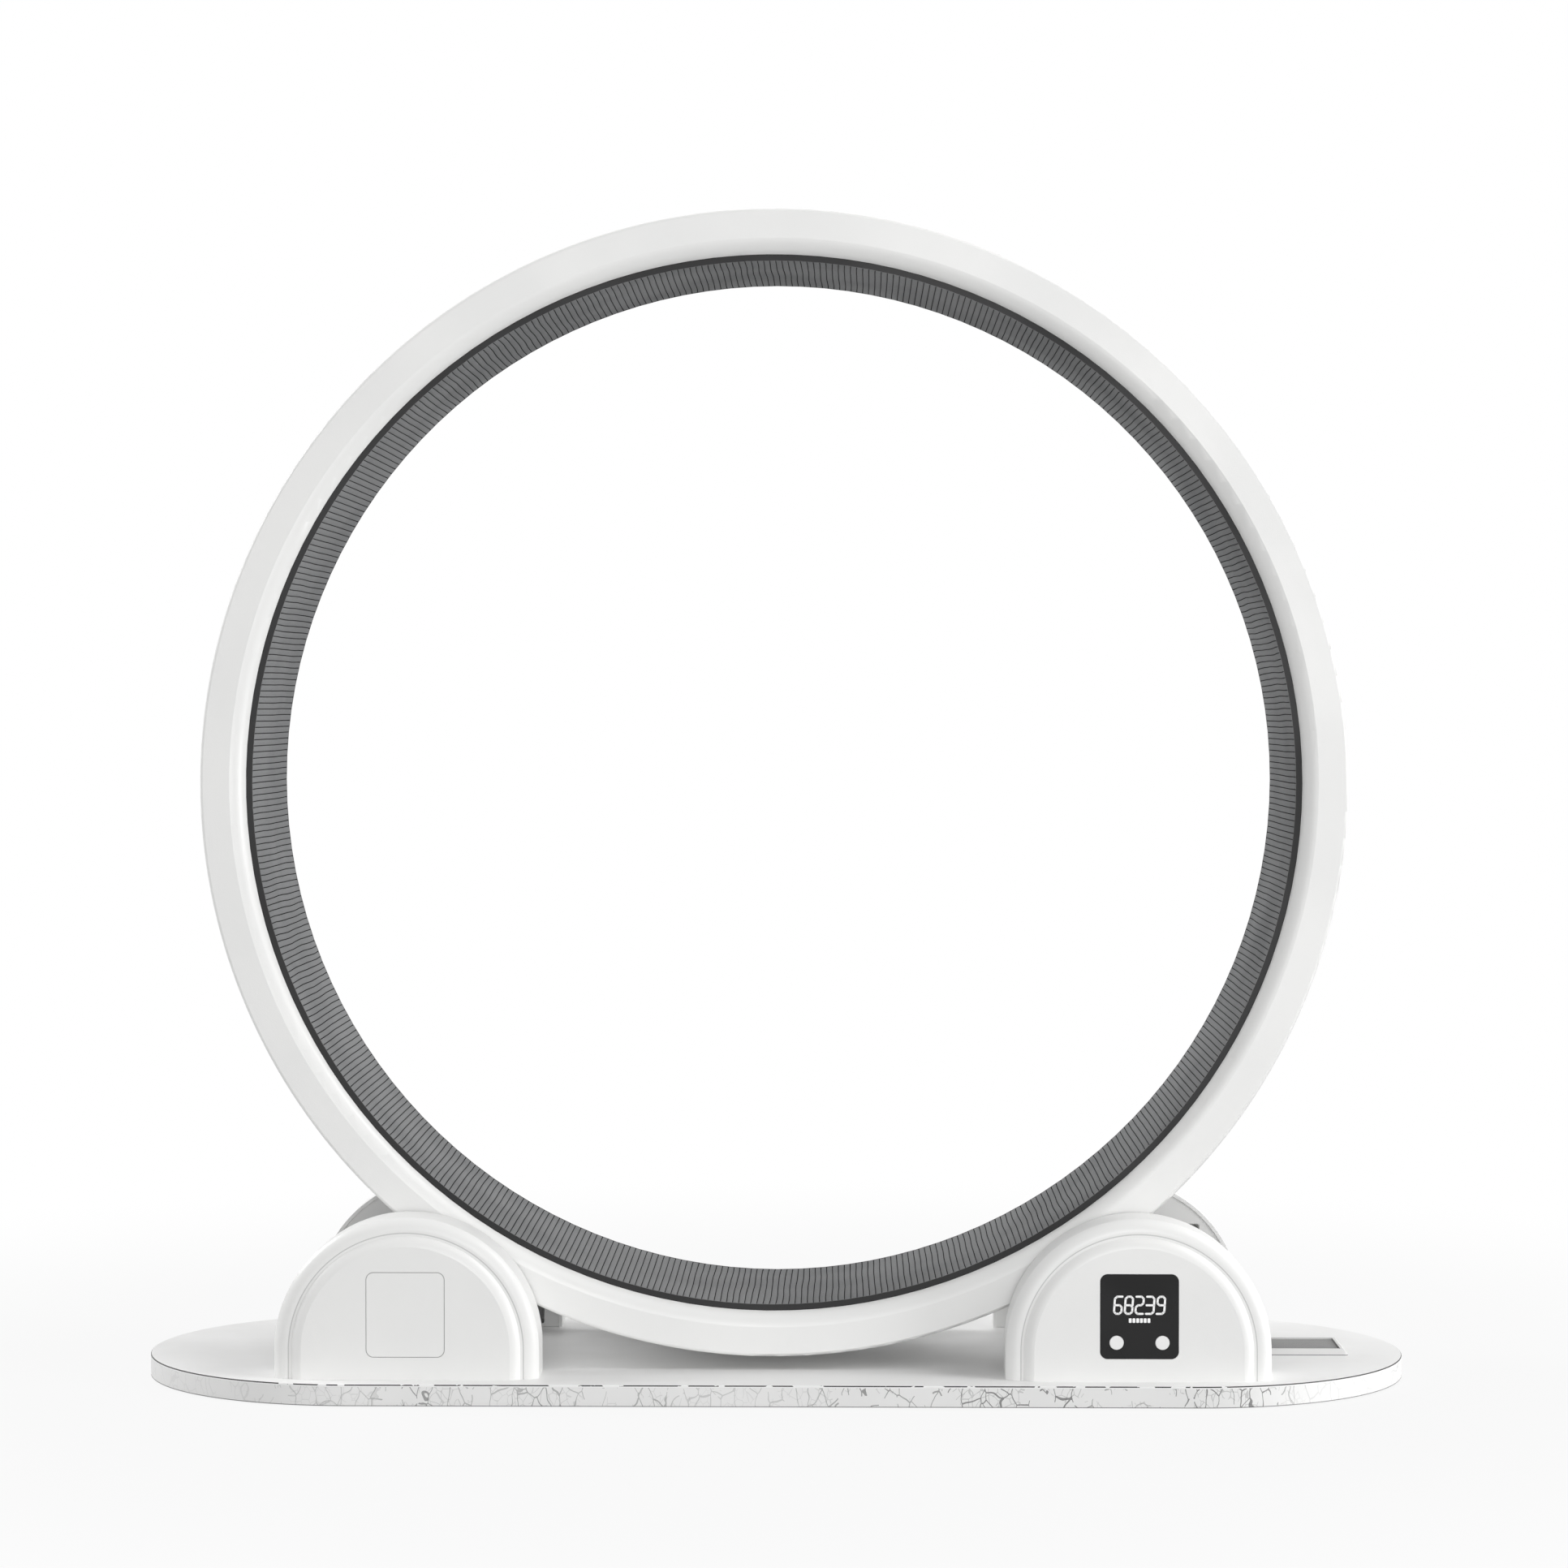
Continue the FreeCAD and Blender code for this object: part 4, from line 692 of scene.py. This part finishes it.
def makeRunningMat():
    low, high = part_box("running_mat")
    axis = Vector((0, (low.y + high.y) / 2, (low.z + high.z) / 2))
    outer = (high.x - low.x) / 2
    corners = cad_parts["running_mat"].data.vertices
    inner = min(math.hypot(v.co.x, v.co.z - axis.z) for v in corners)
    groove = inner + runningMat["ribHeight"]
    halfPitch = math.pi / runningMat["ribCount"]
    ribHalf = runningMat["ribShare"] * inner * math.tan(halfPitch)
    deselectAll()
    bpy.ops.mesh.primitive_cube_add(
        size=1,
        location=(0, axis.y, axis.z - (outer + groove) / 2),
        scale=(2 * outer * math.tan(halfPitch), high.y - low.y, outer - groove),
    )
    piece = bpy.context.object
    bpy.ops.object.transform_apply(location=True, rotation=False, scale=True)
    editOn()
    pick("FACE", lambda face: face.normal.z > 0.9)
    bpy.ops.transform.resize(
        value=(groove / outer, 1, 1), center_override=(0, axis.y, axis.z - groove)
    )
    for side in (-1, 1):
        bpy.ops.mesh.select_all(action="SELECT")
        bpy.ops.mesh.bisect(plane_co=(ribHalf * side, 0, 0), plane_no=(1, 0, 0))

    def isRibTop(face):
        return face.normal.z > 0.9 and abs(face.calc_center_median().x) < ribHalf / 2

    pick("FACE", isRibTop)
    bpy.ops.mesh.extrude_region_move(
        TRANSFORM_OT_translate={"value": (0, 0, runningMat["ribHeight"])}
    )
    top = axis.z - inner - runningMat["ribHeight"] / 2

    def isRibEdge(edge):
        first, second = (vert.co for vert in edge.verts)
        return first.z > top and second.z > top and abs(first.x - second.x) < ribHalf / 2

    pick("EDGE", isRibEdge)
    bpy.ops.mesh.bevel(offset=runningMat["ribRound"], segments=2, affect="EDGES")
    flank = (ribHalf + groove * math.tan(halfPitch)) / 2

    def isCutFace(face):  # where one pitch meets the next
        return abs(face.normal.x) > 0.9 and abs(face.calc_center_median().x) > flank

    pick("FACE", isCutFace)
    bpy.ops.mesh.delete(type="FACE")
    for cut in range(1, runningMat["lengths"]):
        bpy.ops.mesh.select_all(action="SELECT")
        y = low.y + (high.y - low.y) * cut / runningMat["lengths"]
        bpy.ops.mesh.bisect(plane_co=(0, y, 0), plane_no=(0, 1, 0))
    bpy.ops.mesh.select_all(action="SELECT")
    turns = runningMat["ribCount"] - 1
    bpy.ops.mesh.spin(
        steps=turns, dupli=True, angle=2 * halfPitch * turns, center=axis, axis=(0, 1, 0)
    )
    bpy.ops.mesh.select_all(action="SELECT")
    bpy.ops.mesh.remove_doubles(threshold=0.00001)
    bpy.ops.mesh.normals_make_consistent(inside=False)
    editOff()
    swayRibs(piece, axis, inner)
    bpy.ops.object.shade_smooth_by_angle(angle=smoothAngle)
    settle(piece, "ribbedMat", makeMatFinish(axis, inner), "wheel")
    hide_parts("running_mat")


makeRunningMat()
print("running mat made")


# Counter: five digits and a level bar behind the window, drawn as raised strokes

counter = {
    "shown": "68239",
    "height": 0.0165,
    "width": 0.0081,
    "stroke": 0.00175,
    "strokeSides": 20,
    "cornerCut": 0.0018,
    "pitch": 0.00917,
    "slant": math.radians(4),
    "rise": 0.0099,         # above the middle of the window
    "proud": 0.00012,
    "barDrop": 0.0132,      # below the digits
    "barSize": (0.0024, 0.0038),
    "barRound": 0.00048,
    "barPitch": 0.0032,
    "barCount": 6,
}
digitLines = {  # corners in half widths and half heights, from the middle of a digit
    "6": [[(1, 1), (-1, 1), (-1, -1), (1, -1), (1, 0), (-1, 0)]],
    "8": [[(1, 0), (1, 1), (-1, 1), (-1, -1), (1, -1), (1, 0), (-1, 0)]],
    "2": [[(-1, 1), (1, 1), (1, 0), (-1, 0), (-1, -1), (1, -1)]],
    "3": [[(-1, 1), (1, 1), (1, -1), (-1, -1)], [(-1, 0), (1, 0)]],
    "9": [[(1, 0), (-1, 0), (-1, 1), (1, 1), (1, -1), (-1, -1)]],
}


def makeStroke(start, end, y):  # a bar with round ends, flat in the XZ plane
    run = end - start
    deselectAll()
    sides = counter["strokeSides"]
    bpy.ops.mesh.primitive_cylinder_add(
        vertices=sides, radius=counter["stroke"] / 2, depth=counter["proud"]
    )
    stroke = bpy.context.object
    editOn()
    bpy.ops.transform.rotate(value=math.pi / sides, orient_axis="Z", center_override=(0, 0, 0))
    pick("VERT", lambda vert: vert.co.x > 0)
    bpy.ops.transform.translate(value=(run.length, 0, 0))
    editOff()
    stroke.rotation_euler = (math.pi / 2, -math.atan2(run.z, run.x), 0)
    stroke.location = (start.x, y, start.z)
    bpy.ops.object.transform_apply(location=True, rotation=True, scale=False)
    return stroke


def cutCorners(corners):  # each bend becomes a short slant
    points = [corners[0]]
    for before, corner, after in zip(corners, corners[1:], corners[2:]):
        for other in (before, after):
            points.append(corner + (other - corner).normalized() * counter["cornerCut"])
    return points + [corners[-1]]


def makeDigits(middle, y):
    halfWide = (counter["width"] - counter["stroke"]) / 2
    halfHigh = (counter["height"] - counter["stroke"]) / 2
    strokes = []
    for number, digit in enumerate(counter["shown"]):
        across = (number - (len(counter["shown"]) - 1) / 2) * counter["pitch"]
        for line in digitLines[digit]:
            corners = []
            for along, up in line:
                z = up * halfHigh
                x = across + along * halfWide + z * math.tan(counter["slant"])
                corners.append(middle + Vector((x, 0, z)))
            points = cutCorners(corners)
            for start, end in zip(points, points[1:]):
                strokes.append(makeStroke(start, end, y))
    return joinAll(strokes)


def runsBack(edge):
    return abs(edge.verts[0].co.y - edge.verts[1].co.y) > counter["proud"] / 2


def makeLevelBar(middle, y):
    blocks = []
    for number in range(counter["barCount"]):
        across = (number - (counter["barCount"] - 1) / 2) * counter["barPitch"]
        deselectAll()
        bpy.ops.mesh.primitive_cube_add(
            size=1,
            location=(middle.x + across, y, middle.z - counter["barDrop"]),
            scale=(counter["barSize"][0], counter["proud"], counter["barSize"][1]),
        )
        bpy.ops.object.transform_apply(location=True, rotation=False, scale=True)
        editOn()
        pick("EDGE", runsBack)
        bpy.ops.mesh.bevel(offset=counter["barRound"], segments=3, affect="EDGES")
        editOff()
        blocks.append(bpy.context.object)
    return joinAll(blocks)


litFinish = {
    "grain": 700.0, "color": (0.90, 0.90, 0.90), "shade": (0.86, 0.86, 0.86), "rough": 0.5,
    "uneven": 0.05, "relief": 0.05, "depth": 0.0001,
    "plain": {"Emission Color": (1, 1, 1, 1), "Emission Strength": 0.14},
}


def makeCounterMarks():
    middle = (lensLow + lensHigh) / 2
    middle.z += counter["rise"]
    y = lensLow.y - counter["proud"] / 2
    lit = makeFinish("litSegment", litFinish)
    settle(makeDigits(middle, y), "counterDigits", lit, "base")
    settle(makeLevelBar(middle, y), "counterLevelBar", lit, "base")


makeCounterMarks()
print("counter marks made")


# Scratch pad: a thin felted slab with soft edges

scratchPad = {
    "edgeRound": 0.0009,
    "color": (0.27, 0.27, 0.268),
    "shade": (0.22, 0.22, 0.219),
    "threadPitch": 0.0016,
    "threadEdge": (0.75, 0.25),
    "shadowShare": 0.5,
    "shadowColor": (0.11, 0.11, 0.11, 1),
}


def makePadFinish():
    felt = {
        "grain": 900.0, "color": scratchPad["color"], "shade": scratchPad["shade"],
        "rough": 0.9, "uneven": 0.05, "relief": 0.6, "depth": 0.0006, "dust": 0.05,
        "plain": {"Sheen Weight": 0.2, "Sheen Roughness": 0.6},
    }

    def addThreads(tree, color, height):
        woven = useGroup(tree, threadWeave, Pitch=scratchPad["threadPitch"])["Height"]
        hidden = fade(tree, woven, *scratchPad["threadEdge"])
        shadow = product(tree, hidden, scratchPad["shadowShare"])
        return mixColors(tree, shadow, color, scratchPad["shadowColor"]), woven

    return makeFinish("scratchFelt", felt, addThreads)


def makeScratchPad():
    low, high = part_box("scratch_pad")
    deselectAll()
    bpy.ops.mesh.primitive_cube_add(size=1, location=(low + high) / 2, scale=high - low)
    piece = bpy.context.object
    bpy.ops.object.transform_apply(location=True, rotation=False, scale=True)
    editOn()
    bpy.ops.mesh.select_all(action="SELECT")
    bpy.ops.mesh.bevel(offset=scratchPad["edgeRound"], segments=4, affect="EDGES")
    editOff()
    bpy.ops.object.shade_smooth_by_angle(angle=smoothAngle)
    settle(piece, "scratchFeltPad", makePadFinish(), "scratch_pad")
    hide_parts("scratch_pad")


makeScratchPad()
print("scratch pad made")


# Floor, light and camera

studio = {
    "floorSize": 60.0,
    "floorColor": (0.50, 0.50, 0.50, 1),
    "floorRough": 0.9,
    "floorSpecular": 0.1,
    "floorGlow": 0.89,      # share of plain white near the object, as the camera sees it
    "fadeStart": 0.62,
    "fadeEnd": 1.5,
    "worldStrength": 0.44,
}
lamps = {
    "sideLamp": {"place": (5.0, -2.4, 0.7), "size": 1.6, "power": 84.0},
    "frontLamp": {"place": (0.3, -6.0, 0.7), "size": 2.0, "power": 90.0},
    "rightLamp": {"place": (4.4, -1.6, 4.2), "size": 2.4, "power": 117.0},
    "farRightLamp": {"place": (6.0, 0.6, 2.2), "size": 1.6, "power": 84.0},
    "leftBackLamp": {"place": (-4.5, 0.8, 3.2), "size": 2.0, "power": 134.0},
    "topLamp": {"place": (0.3, 1.5, 4.6), "size": 1.6, "power": 26.0},
}
wheelMiddle = Vector((0, 0, 0.5))


def seenDirectly(tree):  # camera, glossy and transmission rays see plain white
    path = addNode(tree, "ShaderNodeLightPath")
    rays = path.outputs["Is Camera Ray"]
    for kind in ("Is Glossy Ray", "Is Transmission Ray"):
        rays = calc(tree, "ADD", rays, path.outputs[kind], clamp=True)
    return rays


def makeFloor():
    deselectAll()
    bpy.ops.mesh.primitive_plane_add(size=studio["floorSize"])
    floor = bpy.context.object
    floor.name = "studioFloor"
    material = bpy.data.materials.new("studioFloor")
    material.use_nodes = True
    tree = material.node_tree
    shader = tree.nodes["Principled BSDF"]
    shader.inputs["Base Color"].default_value = studio["floorColor"]
    shader.inputs["Roughness"].default_value = studio["floorRough"]
    shader.inputs["Specular IOR Level"].default_value = studio["floorSpecular"]
    glow = addNode(tree, "ShaderNodeEmission")
    reach = addNode(tree, "ShaderNodeVectorMath", operation="LENGTH")
    tree.links.new(objectPlace(tree), reach.inputs[0])
    white = fade(
        tree, reach.outputs["Value"],
        studio["fadeStart"], studio["fadeEnd"], studio["floorGlow"], 1.0,
    )
    blend = addNode(tree, "ShaderNodeMixShader")
    tree.links.new(product(tree, white, seenDirectly(tree)), blend.inputs[0])
    tree.links.new(shader.outputs[0], blend.inputs[1])
    tree.links.new(glow.outputs[0], blend.inputs[2])
    tree.links.new(blend.outputs[0], tree.nodes["Material Output"].inputs["Surface"])
    floor.data.materials.append(material)


def makeWorld():
    world = bpy.data.worlds.new("studioWorld")
    bpy.context.scene.world = world
    world.use_nodes = True
    tree = world.node_tree
    backdrop = tree.nodes["Background"]
    backdrop.inputs["Color"].default_value = (1, 1, 1, 1)
    strength = fade(tree, seenDirectly(tree), 0.0, 1.0, studio["worldStrength"], 1.0)
    tree.links.new(strength, backdrop.inputs["Strength"])


def makeLamp(name, look):
    lamp = bpy.data.lights.new(name, "AREA")
    lamp.size = look["size"]
    lamp.energy = look["power"]
    holder = bpy.data.objects.new(name, lamp)
    bpy.context.scene.collection.objects.link(holder)
    holder.location = look["place"]
    aim = wheelMiddle - Vector(look["place"])
    holder.rotation_euler = aim.to_track_quat("-Z", "Y").to_euler()


camera = {
    "place": (0.0633, -3.612, 0.6054),
    "aim": (-0.01536, 1.0, -0.02118),
    "film": 36.0,                 # millimetres
    "focalShare": 4948.1 / 1932,  # focal length over the frame's width
}


def makeCamera():
    data = bpy.data.cameras.new("photoCamera")
    data.sensor_width = camera["film"]
    data.lens = camera["film"] * camera["focalShare"]
    holder = bpy.data.objects.new("photoCamera", data)
    bpy.context.scene.collection.objects.link(holder)
    holder.location = camera["place"]
    holder.rotation_euler = Vector(camera["aim"]).to_track_quat("-Z", "Y").to_euler()
    bpy.context.scene.camera = holder


makeFloor()
makeWorld()
for lampName, lampLook in lamps.items():
    makeLamp(lampName, lampLook)
makeCamera()
bpy.context.scene.view_settings.view_transform = "Standard"
print("studio ready")
